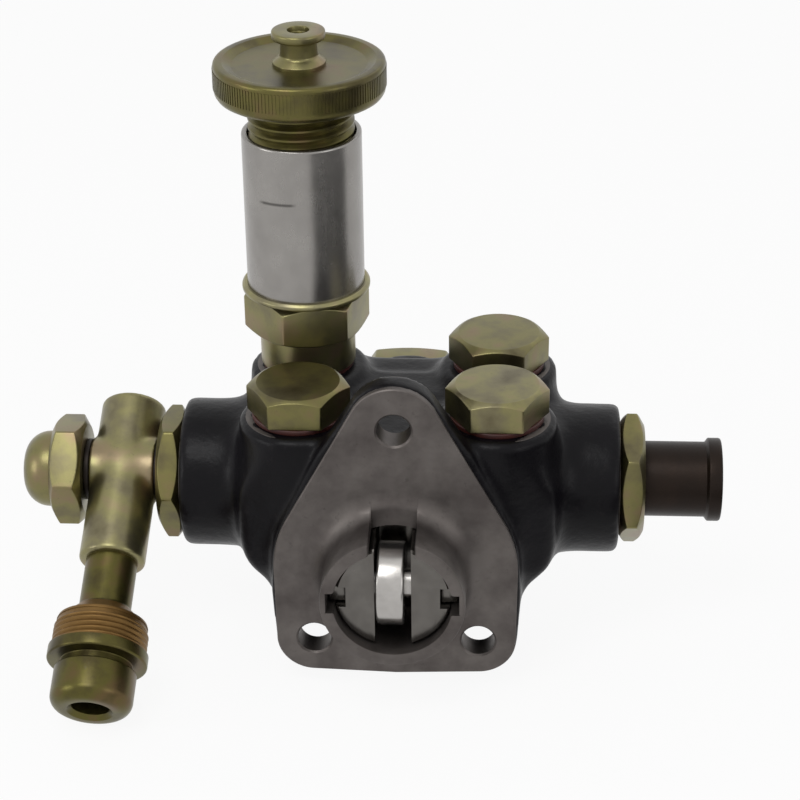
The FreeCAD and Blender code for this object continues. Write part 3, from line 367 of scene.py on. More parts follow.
def washer_red(tree):
    """Dark red fibre and copper of the sealing washers."""
    spot = tree.place()
    cloud = tree.noise(spot, 0.5, 3)
    grain = tree.noise(spot, 2.5, 3)
    return {
        "Base Color": tree.mix(cloud, rgb(42, 15, 13), rgb(70, 28, 21)),
        "Roughness": 0.42 + grain * 0.2,
        "Normal": tree.bump(grain, 0.3, 0.05),
    }


def seal_rubber(tree):
    spot = tree.place()
    grain = tree.noise(spot, 2.0, 3)
    return {
        "Base Color": tree.mix(grain, rgb(18, 18, 18), rgb(34, 33, 33)),
        "Roughness": 0.55 + grain * 0.2,
        "Normal": tree.bump(grain, 0.3, 0.04),
    }


def rounded(corners, steps=4):
    """A closed profile of (radius, height, rounding) corners, its roundings as short runs."""
    points = []
    for i, (x, y, *rounding) in enumerate(corners):
        here = Vector((x, y))
        if not rounding:
            points.append((x, y))
            continue
        before = Vector(corners[i - 1][:2]) - here
        after = Vector(corners[(i + 1) % len(corners)][:2]) - here
        if min(before.length, after.length) < 1e-5:
            points += [(x, y)] * (steps + 1)
            continue
        half = max(before.angle(after) / 2, 0.05)
        reach = min(rounding[0] / math.tan(half), 0.48 * before.length, 0.48 * after.length)
        start = here + before.normalized() * reach
        end = here + after.normalized() * reach
        for k in range(steps + 1):
            t = k / steps
            point = start * (1 - t) ** 2 + here * (2 * t * (1 - t)) + end * t**2
            points.append((point.x, point.y))
    return points


def arc(across, height, radius, start, end, steps=8):
    """Points of a quarter or less of a circle, between two angles in degrees."""
    turns = [math.radians(start + (end - start) * k / steps) for k in range(steps + 1)]
    return [(across + radius * math.cos(turn), height + radius * math.sin(turn)) for turn in turns]


def skin(mesh, rows):
    """Faces between neighbouring rows of points."""
    loops = [[mesh.verts.new(point) for point in row] for row in rows]
    for here, after in zip(loops, loops[1:]):
        for a, b, c, d in zip(here, here[1:], after[1:], after):
            mesh.faces.new((a, b, c, d))


def seat(origin, axis=UP, spin=0):
    """The frame whose Z axis points along an axis from an origin."""
    turn = Vector(UP).rotation_difference(Vector(axis)).to_matrix().to_4x4()
    return Matrix.Translation(origin) @ turn @ Matrix.Rotation(math.radians(spin), 4, "Z")


def lathe(mesh, frame, corners, sides=96, steps=4):
    """Turns a closed profile about the frame's Z axis."""
    profile = rounded(corners, steps)
    profile.append(profile[0])
    rows = []
    for k in range(sides + 1):
        angle = TURN * k / sides
        across, along = math.cos(angle), math.sin(angle)
        rows.append([frame @ Vector((r * across, r * along, h)) for r, h in profile])
    skin(mesh, rows)


def hex_reach(across, angle, corner):
    """Distance from a hexagon's centre to its side, with its corners rounded."""
    flat = across / 2
    half = math.pi / 6
    swing = abs((angle + half) % (2 * half) - half)
    side = half - swing
    run = (flat - corner) * math.tan(half)
    if side <= math.atan(run / flat):
        return flat / math.cos(side)
    centre = (flat - corner) / math.cos(half)
    return centre * math.cos(swing) + math.sqrt(corner**2 - (centre * math.sin(swing)) ** 2)


def hexed(mesh, frame, across, corners_at, corner=0.7, steps=3):
    """A closed profile round a hexagon; corners_at gives the profile for a side's reach."""
    offsets = (0, 0.45, 0.9, 1.4, 2.2, 4, 8, 14, 22, 30)
    turns = sorted({60 * k + s * offset for k in range(6) for offset in offsets for s in (-1, 1)})
    rows = []
    for degrees in turns + [turns[0] + 360]:
        angle = math.radians(degrees)
        profile = rounded(corners_at(hex_reach(across, angle, corner)), steps)
        profile.append(profile[0])
        rows.append([frame @ Vector((r * math.cos(angle), r * math.sin(angle), h)) for r, h in profile])
    skin(mesh, rows)


def bevelled(across, low, high, both=False, bore=0.0):
    """The profile of a chamfered hexagon head, for any side's reach."""
    top = across * 0.46
    slope = math.tan(math.pi / 6)

    def corners_at(reach):
        fall = max(reach - top, 0.02) * slope
        if both:
            foot = [(bore, low), (top, low, 0.4), (reach, low + fall, 0.4)]
        else:
            foot = [(bore, low), (reach - 0.02, low, 0.3)]
        return foot + [(reach, high - fall, 0.4), (top, high, 0.4), (bore, high)]

    return corners_at


def threaded(mesh, frame, before, after, radius, depth, pitch, low, high, sides=72, samples=10):
    """A closed turned profile with a real helical thread between low and high."""
    steps = range(-samples, math.ceil((high - low) / pitch * samples) + 1)
    rows = []
    for k in range(sides + 1):
        part = k / sides
        profile = list(before)
        for j in steps:
            height = low + j * pitch / samples + part * pitch
            phase = (j / samples) % 1
            tooth = min(1.0, 2.6 * abs(phase - 0.5))
            height = min(max(height, low), high)
            fade = min(1.0, (height - low) / (pitch * 0.6), (high - height) / (pitch * 0.6))
            profile.append((radius - depth * (1 - tooth * fade), height))
        profile += after
        profile.append(profile[0])
        angle = TURN * part
        rows.append([frame @ Vector((r * math.cos(angle), r * math.sin(angle), h)) for r, h in profile])
    skin(mesh, rows)


def tidied(mesh):
    """Closes seams and poles and turns the faces outwards."""
    bmesh.ops.remove_doubles(mesh, verts=mesh.verts, dist=0.003)
    bmesh.ops.dissolve_degenerate(mesh, dist=0.001, edges=mesh.edges)
    bmesh.ops.recalc_face_normals(mesh, faces=mesh.faces)


def smoothed(data, crease):
    for polygon in data.polygons:
        polygon.use_smooth = True
    data.set_sharp_from_angle(angle=math.radians(crease))


def piece(name, mesh, body, material, replaced=(), crease=32):
    """A finished piece in metres, at the origin, that rides on a body."""
    tidied(mesh)
    bmesh.ops.scale(mesh, vec=(MM, MM, MM), verts=mesh.verts)
    data = bpy.data.meshes.new(name)
    mesh.to_mesh(data)
    mesh.free()
    return dressed(name, data, body, material, replaced, crease)


def dressed(name, data, body, material, replaced=(), crease=32):
    smoothed(data, crease)
    made = bpy.data.objects.new(name, data)
    bpy.context.scene.collection.objects.link(made)
    if not data.materials:
        data.materials.append(material)
    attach(made, body)
    if replaced:
        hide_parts(*replaced)
    return made


def grown(name, fill, settings):
    """The mesh of a Geometry Nodes tree that is built by fill, with named settings."""
    group = bpy.data.node_groups.new(name, "GeometryNodeTree")
    group.interface.new_socket("Geometry", in_out="INPUT", socket_type="NodeSocketGeometry")
    group.interface.new_socket("Geometry", in_out="OUTPUT", socket_type="NodeSocketGeometry")
    sockets = {}
    for label, given in settings.items():
        kind = "NodeSocketMaterial" if isinstance(given, bpy.types.Material) else "NodeSocketFloat"
        if isinstance(given, int):
            kind = "NodeSocketInt"
        sockets[label] = group.interface.new_socket(label, in_out="INPUT", socket_type=kind)
    tree = Tree(group)
    entry = group.nodes.new("NodeGroupInput")
    inputs = {label: Value(tree, entry.outputs[label]) for label in settings}
    shape = fill(tree, inputs)
    whole = tree.node("GeometryNodeRealizeInstances", None, {0: shape})
    painted = tree.node("GeometryNodeSetMaterial", None, {"Geometry": whole, "Material": inputs["Finish"]})
    tree.node("NodeGroupOutput", None, {0: painted})
    holder = bpy.data.objects.new(name + "_source", bpy.data.meshes.new(name + "_source"))
    bpy.context.scene.collection.objects.link(holder)
    modifier = holder.modifiers.new("Shape", "NODES")
    modifier.node_group = group
    for label, given in settings.items():
        modifier[sockets[label].identifier] = given
    holder.update_tag()
    bpy.context.view_layer.update()
    evaluated = holder.evaluated_get(bpy.context.evaluated_depsgraph_get())
    data = bpy.data.meshes.new_from_object(evaluated)
    data.name = name
    bpy.data.objects.remove(holder)
    if not data.polygons:
        raise RuntimeError(f"{name}: its tree made no faces")
    return data


def skinned(tree, inputs, distance, low, high):
    """Faces where a distance in millimetres is zero, inside a box."""
    voxel = inputs["Voxel size"]
    counts = [(top - bottom) / voxel for bottom, top in zip(low, high)]
    sockets = {"Density": distance * -1.0, "Background": -5.0, "Min": low, "Max": high}
    for axis, count in zip("XYZ", counts):
        sockets["Resolution " + axis] = count
    volume = tree.node("GeometryNodeVolumeCube", None, sockets)
    shell = tree.node("GeometryNodeVolumeToMesh", None, {"Volume": volume, "Threshold": 0.0})
    settings = {"data_type": "FLOAT_VECTOR"}
    spot = tree.node("GeometryNodeInputPosition")
    even = tree.node("GeometryNodeBlurAttribute", settings, {"Value": spot, "Iterations": 2})
    calm = tree.node("GeometryNodeSetPosition", None, {"Geometry": shell, "Position": even})
    return tree.node("GeometryNodeTransform", None, {"Geometry": calm, "Scale": (MM, MM, MM)})


def coordinates(tree):
    spot = tree.node("GeometryNodeInputPosition")
    split = tree.node("ShaderNodeSeparateXYZ", None, [spot]).socket.node
    return [Value(tree, split.outputs[k]) for k in range(3)]


def rod(across, along, height, low, high, radius, edge):
    """Distance to a rod with rounded ends' edges; across and along are measured from its axis."""
    outer = (across * across + along * along).root() - (radius - edge)
    end = abs(height - (low + high) / 2) - ((high - low) / 2 - edge)
    beyond = (outer.most(0.0) * outer.most(0.0) + end.most(0.0) * end.most(0.0)).root()
    return beyond + outer.most(end).least(0.0) - edge


def slab(parts, middle, half, edge):
    """Distance to a box with rounded edges."""
    gaps = [abs(part - centre) - (size - edge) for part, centre, size in zip(parts, middle, half)]
    over = [gap.most(0.0) for gap in gaps]
    beyond = (over[0] * over[0] + over[1] * over[1] + over[2] * over[2]).root()
    return beyond + gaps[0].most(gaps[1]).most(gaps[2]).least(0.0) - edge


TOP_HOLE, LOW_HOLE_SIDE, LOW_HOLE = 42.5, 22, -21.5
FIXING_HOLES = [(0, TOP_HOLE), (LOW_HOLE_SIDE, LOW_HOLE), (-LOW_HOLE_SIDE, LOW_HOLE)]
FLANGE_ROUNDS = [
    (LOW_HOLE_SIDE, LOW_HOLE, 10.5),
    (-LOW_HOLE_SIDE, LOW_HOLE, 10.5),
    (0, 0, 32.8),
    (0, TOP_HOLE, 12.5),
]
CHEST_WALLS = [
    (1, 0, 42),
    (0.7071, 0.7071, 43.84),
    (0, 1, 32),
    (0.831, -0.556, 35.4),
    (0.7295, -0.684, 33.9),
]
CHEST_MIDDLE, CHEST_HALF, CHEST_FOOT = 35.8, 28.0, 24.0
TOWER_RADIUS, ARM_RADIUS, BARREL_RADIUS = 16.0, 20.3, 22.0


def taut(side, up, inset, directions=26):
    """Distance to the taut outline round the flange's bosses, from its flat bounds."""
    found = None
    for k in range(directions):
        angle = math.pi * (k / (directions - 1) - 0.5)
        across, rise = math.cos(angle), math.sin(angle)
        reach = max(x * across + z * rise + r for x, z, r in FLANGE_ROUNDS) - inset
        bound = side * across + up * rise - reach
        found = bound if found is None else found.most(bound)
    return found


def casting_shape(tree, inputs):
    """The cast housing: chest, towers, arms, barrel and flange blended into one skin."""
    x, y, z = coordinates(tree)
    side = abs(x)
    blend = inputs["Blend"]
    chest = z * -1.0 - CHEST_FOOT
    for across, rise, reach in CHEST_WALLS:
        chest = chest.trimmed(side * across + z * rise - reach, 6.0)
    chest = chest.trimmed(abs(y - CHEST_MIDDLE) - CHEST_HALF, 5.0)
    cast = chest.blended(rod(x, z, y, 3.0, BARREL_END, BARREL_RADIUS, 1.8), blend)
    for row in TOWER_ROWS:
        cast = cast.blended(rod(side - TOWER_SIDE, y - row, z, -4.0, TOWER_TOP, TOWER_RADIUS, 1.9), blend)
    cast = cast.blended(rod(y - ARM_ROW, z - ARM_LEVEL, side, 6.0, ARM_FACE, ARM_RADIUS, 1.7), blend * 1.2)
    plate = taut(side, z, 0.0).trimmed(abs(y - 4.5) - 3.6, 1.4)
    cast = cast.blended(plate, 4.0)
    pad = slab((x, y, z), (0, 44.5, 31.1), (13.5, 7.5, 1.9), 0.8)
    cast = cast.blended(pad, 1.6)
    cast = cast.trimmed(17.9 - (x * x + z * z).root().most((y - 2.0) + 0.1), 0.4)
    cast = cast.trimmed(15.3 - (x * x + z * z).root().most(86.0 - y), 0.4)
    for across, level in FIXING_HOLES[:2]:
        hole = ((side - across) * (side - across) + (z - level) * (z - level)).root()
        cast = cast.trimmed(4.8 - hole.most(y - 12.0), 0.3)
        if level < 0:
            cast = cast.trimmed((hole - 8.5).most(8.0 - y).most(y - 24.0) * -1.0, 1.2)
    rough = tree.node("ShaderNodeTexNoise", None, {"Scale": 0.28, "Detail": 2.0})
    cast = cast + (rough - 0.5) * inputs["Unevenness"]
    return skinned(tree, inputs, cast, (-61, -1, -34), (61, 86, 57))


def taut_outline(inset, step=3):
    """Points (x, z) of the flange's outline, clockwise from its right side."""
    points = []
    for degrees in range(0, 360, step):
        angle = math.radians(degrees)
        across, rise = math.cos(angle), math.sin(angle)
        x, z, r = max(FLANGE_ROUNDS, key=lambda c: c[0] * across + c[1] * rise + c[2])
        points.append((x + (r - inset) * across, z + (r - inset) * rise))
    return points


def closed_loop(mesh, points, y):
    corners = [mesh.verts.new((x, y, z)) for x, z in points]
    return [mesh.edges.new(pair) for pair in zip(corners, corners[1:] + corners[:1])]


def wall(mesh, loops):
    """Faces round closed loops of points at several depths."""
    rows = []
    for i in range(len(loops[0][0]) + 1):
        corners = [(points[i % len(points)], y) for points, y in loops]
        rows.append([(x, y, z) for (x, z), y in corners])
    skin(mesh, rows)


def circle(x, z, radius, sides):
    """Points (x, z) of a circle that faces the front."""
    turns = [TURN * k / sides for k in range(sides)]
    return [(x + radius * math.cos(turn), z + radius * math.sin(turn)) for turn in turns]


HUB_RADIUS = 19.0
HUB_FRONT = -15.8
ROOT = 6.0
BORE_RADIUS = 15.5
BORE_END = 18.4
NOTCH_HALF = 6.0
NOTCH_END = -1.5
SLOT_HALF = 3.0
SLOT_REACH = 17.3
SLOT_END = 9.2
LINER_RADIUS = 18.25
LINER_END = BORE_END + 0.8
PLATE_BACK = 7.3
EASE = 0.3


def hub_profile(kind, offset):
    """(radius, depth) points of the hub from the flange's face, over its front, down its bore."""
    outer, front, bore, ease = HUB_RADIUS, HUB_FRONT, BORE_RADIUS, 0.0
    if kind == "wall":
        outer, front, bore, ease = outer - EASE, front + EASE, bore + EASE, EASE
    if kind == "lip":
        bore += EASE
    if kind == "slot":
        bore = math.hypot(SLOT_REACH, offset)
    points = []
    for k in range(11):
        turn = math.radians(9 * k)
        radius = ROOT + ease * k / 10
        points.append((HUB_RADIUS + ROOT - radius * math.sin(turn), radius * math.cos(turn) - ROOT))
    points += [(outer, front + 0.5), (outer - 0.15, front + 0.15), (outer - 0.5, front)]
    points += [(bore + 0.5, front), (bore + 0.12, front + 0.12), (bore, front + 0.5)]
    points += [(bore, NOTCH_END), (bore, SLOT_END)]
    end = BORE_RADIUS if kind in ("slot", "lip") else bore
    points += [(end, SLOT_END), (BORE_RADIUS, BORE_END)]
    if kind == "notch":
        points = [(r, max(depth, NOTCH_END)) for r, depth in points]
    return points


def hub_columns():
    """Places round the hub: how a radius becomes (x, z), and the profile's kind."""
    top = [("x", c, "notch") for c in (0, 2, 4, NOTCH_HALF)]
    top += [("x", NOTCH_HALF, "wall"), ("x", NOTCH_HALF + EASE, "plain")]
    top += [("turn", degrees, "plain") for degrees in range(28, 76, 4)]
    slot = [("z", SLOT_HALF + EASE, "plain"), ("z", SLOT_HALF, "lip")]
    slot += [("z", SLOT_HALF, "slot"), ("z", SLOT_HALF / 2, "slot")]
    below = [("z", -c, kind) for _, c, kind in reversed(slot)]
    bottom = [("turn", degrees, "plain") for degrees in range(106, 181, 4)] + [("turn", 180, "plain")]
    right = top + slot + [("z", 0, "slot")] + below + bottom
    return [(1, *column) for column in right] + [(-1, *column) for column in reversed(right)]


def hub_point(side, rule, number, radius):
    if rule == "x":
        return side * number, math.sqrt(radius**2 - number**2)
    if rule == "z":
        return side * math.sqrt(radius**2 - number**2), number
    angle = math.radians(number)
    return side * radius * math.sin(angle), radius * math.cos(angle)


def mounting_face(mesh):
    """The machined front: flange face with its holes, tappet hub, notch, slots and bore."""
    rows = []
    for side, rule, number, kind in hub_columns():
        row = []
        for radius, depth in hub_profile(kind, number):
            x, z = hub_point(side, rule, number, radius)
            row.append((x, depth, z))
        rows.append(row)
    skin(mesh, rows + rows[:1])
    ring = []
    floor = []
    for row in rows:
        for found, point in ((ring, row[0]), (floor, row[-1])):
            if not found or math.dist(found[-1], (point[0], point[2])) > 0.01:
                found.append((point[0], point[2]))
    for found in (ring, floor):
        if math.dist(found[0], found[-1]) < 0.01:
            found.pop()
    mesh.faces.new([mesh.verts.new((x, BORE_END, z)) for x, z in floor])
    edge, eased = taut_outline(0.7), taut_outline(0.4)
    front_edges = closed_loop(mesh, edge, 0.0) + closed_loop(mesh, ring, 0.0)
    back_edges = closed_loop(mesh, eased, PLATE_BACK)
    wall(mesh, [(edge, 0.0), (eased, 0.3), (eased, PLATE_BACK)])
    for x, z in FIXING_HOLES:
        mouth, hole = circle(x, z, 5.0, 40), circle(x, z, 4.5, 40)
        front_edges += closed_loop(mesh, mouth, 0.0)
        back_edges += closed_loop(mesh, hole, PLATE_BACK)
        wall(mesh, [(mouth, 0.0), (hole, 0.5), (hole, PLATE_BACK)])
    liner = circle(0, 0, LINER_RADIUS, 72)
    back_edges += closed_loop(mesh, liner, PLATE_BACK)
    wall(mesh, [(liner, PLATE_BACK), (liner, LINER_END)])
    mesh.faces.new([mesh.verts.new((x, LINER_END, z)) for x, z in liner])
    for edges in (front_edges, back_edges):
        bmesh.ops.triangle_fill(mesh, use_beauty=True, use_dissolve=False, edges=edges)


def softened(node, width, crease=30):
    """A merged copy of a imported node's mesh, in millimetres, with its edges eased."""
    mesh = bmesh.new()
    mesh.from_mesh(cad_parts[node].data)
    bmesh.ops.scale(mesh, vec=(1 / MM,) * 3, verts=mesh.verts)
    bmesh.ops.remove_doubles(mesh, verts=mesh.verts, dist=0.004)
    bmesh.ops.dissolve_limit(mesh, angle_limit=math.radians(1), verts=mesh.verts, edges=mesh.edges)
    least = math.radians(crease)
    sharp = [e for e in mesh.edges if len(e.link_faces) == 2 and e.calc_face_angle(0) > least]
    settings = {"segments": 2, "profile": 0.5, "affect": "EDGES", "clamp_overlap": True}
    bmesh.ops.bevel(mesh, geom=sharp, offset=width, **settings)
    return mesh


def knurl_shape(tree, inputs):
    """Short straight ridges, instanced round the knob's rim."""
    sockets = {"Vertices": inputs["Ridges"], "Radius": inputs["Ring radius"]}
    ring = tree.node("GeometryNodeMeshCircle", None, sockets)
    sizes = [inputs["Depth"] * 2.0, inputs["Width"], inputs["Length"]]
    size = tree.node("ShaderNodeCombineXYZ", None, sizes)
    bar = tree.node("GeometryNodeMeshCube", None, {"Size": size})
    spot = tree.node("GeometryNodeInputPosition")
    settings = {"axis": "X"}
    turn = tree.node("FunctionNodeAlignEulerToVector", settings, {"Vector": spot})
    sockets = {"Points": ring, "Instance": bar, "Rotation": turn}
    ridges = tree.node("GeometryNodeInstanceOnPoints", None, sockets)
    solid = tree.node("GeometryNodeRealizeInstances", None, {0: ridges})
    shift = tree.node("ShaderNodeCombineXYZ", None, [PRIMER.x * MM, PRIMER.y * MM, inputs["Level"] * MM])
    moved = {"Geometry": solid, "Translation": shift, "Scale": (MM, MM, MM)}
    return tree.node("GeometryNodeTransform", None, moved)


def banjo_shape(tree, inputs):
    """The banjo: a round bar along the leg, with faced cheeks where the stud goes through."""
    x, y, z = coordinates(tree)
    out, forward, up = x - BANJO.x, y - BANJO.y, z - BANJO.z
    around = seat((0, 0, 0), LEG).to_3x3().transposed()
    across, sideways, along = [out * row.x + forward * row.y + up * row.z for row in around]
    bar = rod(across, sideways, along, -20.0, 29.0, 9.0, 1.0)
    cheeks = rod(forward, up, out, -9.0, 9.0, 8.5, 0.3)
    body = bar.blended(cheeks, inputs["Blend"])
    stud = (forward * forward + up * up).root()
    body = body.trimmed(6.4 - stud, 0.2)
    body = body.trimmed((stud - 9.5).most(9.0 - abs(out)) * -1.0, 0.15)
    low = (BANJO.x - 11, BANJO.y - 31, BANJO.z - 24)
    high = (BANJO.x + 11, BANJO.y + 23, BANJO.z + 20)
    return skinned(tree, inputs, body, low, high)


class CastingSettings(bpy.types.PropertyGroup):
    """Sizes of the cast housing's skin."""

    voxel: bpy.props.FloatProperty(
        name="Voxel size", description="Fineness of the skin, mm", default=0.9, min=0.4
    )
    blend: bpy.props.FloatProperty(
        name="Blend", description="Reach of the cast fillets, mm", default=8.0, min=0.0
    )
    uneven: bpy.props.FloatProperty(
        name="Unevenness", description="Waviness of the skin, mm", default=0.35, min=0.0
    )


class KnobSettings(bpy.types.PropertyGroup):
    """Sizes of the primer's knob."""

    ridges: bpy.props.IntProperty(
        name="Ridges", description="Knurled ridges round the rim", default=150, min=3
    )
    depth: bpy.props.FloatProperty(
        name="Ridge depth", description="Height of a ridge, mm", default=0.14, min=0.0
    )
    pitch: bpy.props.FloatProperty(
        name="Thread pitch", description="Pitch of the knob's thread, mm", default=2.5, min=0.5
    )


class StageSettings(bpy.types.PropertyGroup):
    """Floor, lamps and camera."""

    floor: bpy.props.FloatVectorProperty(
        name="Floor colour",
        description="Colour of floor and backdrop",
        subtype="COLOR",
        default=(0.96, 0.96, 0.96),
    )
    key: bpy.props.FloatProperty(
        name="Key lamp", description="Power of the overhead lamp", default=2.2, unit="POWER"
    )
    lens: bpy.props.FloatProperty(
        name="Focal length", description="Camera lens", default=103.1, min=1.0, unit="CAMERA"
    )
    distance: bpy.props.FloatProperty(
        name="Distance", description="Camera to target", default=0.60958, subtype="DISTANCE", unit="LENGTH"
    )


def zinc(name, centre, axis=UP, tone=0.0):
    return finish(name, yellow_zinc, centre, axis, tone)


def spot_face(mesh, frame, bore, edge, depth=1.0):
    """A machined ring that a washer or hexagon seats on."""
    lathe(mesh, frame, [(bore, -depth), (edge, -depth), (edge, 0.0, 0.15), (bore, 0.0)], 72, 2)


class PUMP_OT_casting(bpy.types.Operator):
    """Build the cast housing and its machined faces"""

    bl_idname = "pump.casting"
    bl_label = "Cast housing"

    def execute(self, context):
        sizes = context.scene.pump_casting
        paint = finish("black_cast_paint", black_paint)
        bare = finish("machined_casting", milled_casting)
        settings = {
            "Voxel size": sizes.voxel,
            "Blend": sizes.blend,
            "Unevenness": sizes.uneven,
            "Finish": paint,
        }
        data = grown("cast_housing", casting_shape, settings)
        dressed("cast_housing", data, "housing", paint, ["housing"], 60)
        mesh = bmesh.new()
        mounting_face(mesh)
        piece("mounting_face", mesh, "housing", bare)
        mesh = bmesh.new()
        for row in TOWER_ROWS:
            for x in (-TOWER_SIDE, TOWER_SIDE):
                spot_face(mesh, seat((x, row, TOWER_TOP)), 9.2, 14.2, 1.4)
        for side, axis in ((-1, LEFT), (1, RIGHT)):
            spot_face(mesh, seat((side * ARM_FACE, ARM.y, ARM.z), axis), 12.2, 18.4)
        spot_face(mesh, seat((0, BARREL_END, 0), INWARD), 15.2, 20.2)
        piece("spot_faces", mesh, "housing", bare)
        return {"FINISHED"}


class PUMP_OT_plugs(bpy.types.Operator):
    """Build the hexagon plugs and their sealing washers"""

    bl_idname = "pump.plugs"
    bl_label = "Plugs and washers"

    def execute(self, context):
        red = finish("washer_red", washer_red)
        for node, tone in (("plug_front_left", -18), ("plug_front_right", 0), ("plug_rear_right", -10)):
            low, high = node_box(node)
            middle = (low + high) / 2
            mesh = bmesh.new()
            frame = seat((middle.x, middle.y, 0))
            hexed(mesh, frame, PLUG_HEX, bevelled(PLUG_HEX, SEAT_LEVEL, high.z))
            shank = [(0, POCKET_TOP), (5.8, POCKET_TOP), (5.8, SHANK_FOOT), (8, SHANK_FOOT)]
            shank += [(9, SHANK_FOOT + 1), (9, SEAT_LEVEL + 0.3), (0, SEAT_LEVEL + 0.3)]
            lathe(mesh, frame, shank, 48)
            metal = zinc("zinc_" + node, middle, UP, tone)
            piece(node + "_head", mesh, "housing", metal, [node])
        for row in ("front", "rear"):
            for side in ("left", "right"):
                node = f"sealing_washer_{row}_{side}"
                low, high = node_box(node)
                middle = (low + high) / 2
                mesh = bmesh.new()
                ring = [(9.1, low.z), (12.5, low.z, 0.35), (12.5, high.z, 0.35), (9.1, high.z)]
                lathe(mesh, seat((middle.x, middle.y, 0)), ring, 72)
                piece(node + "_ring", mesh, "housing", red, [node])
        low, high = node_box("rear_plug")
        mesh = bmesh.new()
        frame = seat((0, 0, 0), INWARD)
        head = bevelled(REAR_HEX, REAR_SEAT, high.y)
        pocket = [(0, REAR_SEAT + 0.9), (10, REAR_SEAT + 0.9), (10, REAR_SEAT)]
        hexed(mesh, frame, REAR_HEX, lambda reach: pocket + head(reach)[1:], 1.0)
        foot, neck = clean(low.y) + 0.2, REAR_SEAT + 0.5
        lathe(mesh, frame, [(10, foot), (15, foot), (15, neck), (10, neck)], 72)
        metal = zinc("zinc_rear_plug", (0, 90, 0), INWARD)
        piece("rear_plug_head", mesh, "housing", metal, ["rear_plug"])
        return {"FINISHED"}


class PUMP_OT_primer(bpy.types.Operator):
    """Build the hand primer's base, collar and barrel"""

    bl_idname = "pump.primer"
    bl_label = "Primer base and barrel"

    def execute(self, context):
        frame = seat((PRIMER.x, PRIMER.y, 0))
        mesh = bmesh.new()
        hex_frame = seat((PRIMER.x, PRIMER.y, 0), UP, 13)
        hexed(mesh, hex_frame, PRIMER_HEX, bevelled(PRIMER_HEX, BASE_HEX_FOOT, BASE_TOP, True, 13.4), 0.9)
        foot = SHANK_FOOT + 0.5
        inside = BASE_HEX_FOOT + 0.3
        neck = [(9, foot), (9, SEAT_LEVEL), (13, SEAT_LEVEL, 0.3), (13, inside), (13.5, inside)]
        neck += [(13.5, BARREL_FOOT), (2.5, BARREL_FOOT)]
        neck += [(2.5, POCKET_TOP), (5.8, POCKET_TOP), (5.8, foot)]
        lathe(mesh, frame, neck)
        metal = zinc("zinc_primer_base", PRIMER)
        piece("primer_base_hex", mesh, "housing", metal, ["primer_base"])
        mesh = bmesh.new()
        ring = [(15.95, BASE_TOP), (17.4, BASE_TOP, 0.5), (17.4, COLLAR_TOP - 0.7, 0.6)]
        ring += [(16.7, COLLAR_TOP, 0.4), (15.95, COLLAR_TOP)]
        lathe(mesh, frame, ring)
        metal = zinc("zinc_collar", PRIMER, UP, 10)
        piece("primer_collar_ring", mesh, "housing", metal, ["primer_collar"])
        mesh = bmesh.new()
        foot, step, mouth = BARREL_FOOT + 0.1, BASE_TOP - 0.1, BARREL_TOP - 16
        tube = [(11, foot), (13.2, foot, 0.3), (13.2, step), (15.9, step), (15.9, BARREL_TOP, 0.7)]
        tube += [(14.4, BARREL_TOP, 0.5), (14.4, mouth), (11, mouth)]
        lathe(mesh, frame, tube, 128)
        metal = finish("turned_aluminium", bare_aluminium, PRIMER)
        piece("primer_tube", mesh, "housing", metal, ["primer_barrel"])
        return {"FINISHED"}


class PUMP_OT_knob(bpy.types.Operator):
    """Build the knob with its knurled rim and threaded sleeve, and the cap on top"""

    bl_idname = "pump.knob"
    bl_label = "Primer knob"

    def execute(self, context):
        sizes = context.scene.pump_knob
        low, high = node_box("primer_knob")
        frame = seat((PRIMER.x, PRIMER.y, 0))
        under, top = high.z - 9.8, high.z
        metal = zinc("zinc_knob", (PRIMER.x, PRIMER.y, top), UP, -31)
        mesh = bmesh.new()
        disc = [(14.1, under, 0.3), (22.55, under, 3.0), (22.55, top, 1.2), (20.1, top, 0.5)]
        disc += [(17.7, top - 1.2, 1.0), (3.55, top - 1.2), (3.55, under + 2.5), (8.5, under + 2.5)]
        disc += [(8.5, low.z), (13.0, low.z)]
        threaded(mesh, frame, [], rounded(disc), 14.1, 1.0, sizes.pitch, low.z + 0.2, under - 0.6)
        piece("knob_disc", mesh, "knob", metal, ["primer_knob"])
        settings = {
            "Ridges": sizes.ridges,
            "Ring radius": 22.54,
            "Depth": sizes.depth,
            "Width": 0.5,
            "Length": 5.2,
            "Level": (under + top) / 2 + 0.7,
            "Finish": metal,
        }
        data = grown("knob_knurl", knurl_shape, settings)
        dressed("knob_knurl", data, "knob", metal)
        low, high = node_box("knob_cap")
        foot, head = low.z, high.z
        mesh = bmesh.new()
        cap = [
            (0, foot),
            (7.0, foot),
            (7.0, foot + 0.8, 0.3),
            (4.9, foot + 2.4, 1.0),
            (4.7, head - 2.2, 0.3),
            (7.0, head - 2.2, 0.5),
            (7.0, head, 0.6),
            (2.9, head, 0.2),
            (2.7, head - 1.5, 0.2),
            (0, head - 1.6),
        ]
        lathe(mesh, frame, cap, 72)
        piece("knob_cap_nut", mesh, "knob", zinc("zinc_cap", PRIMER, UP, -6), ["knob_cap"])
        return {"FINISHED"}


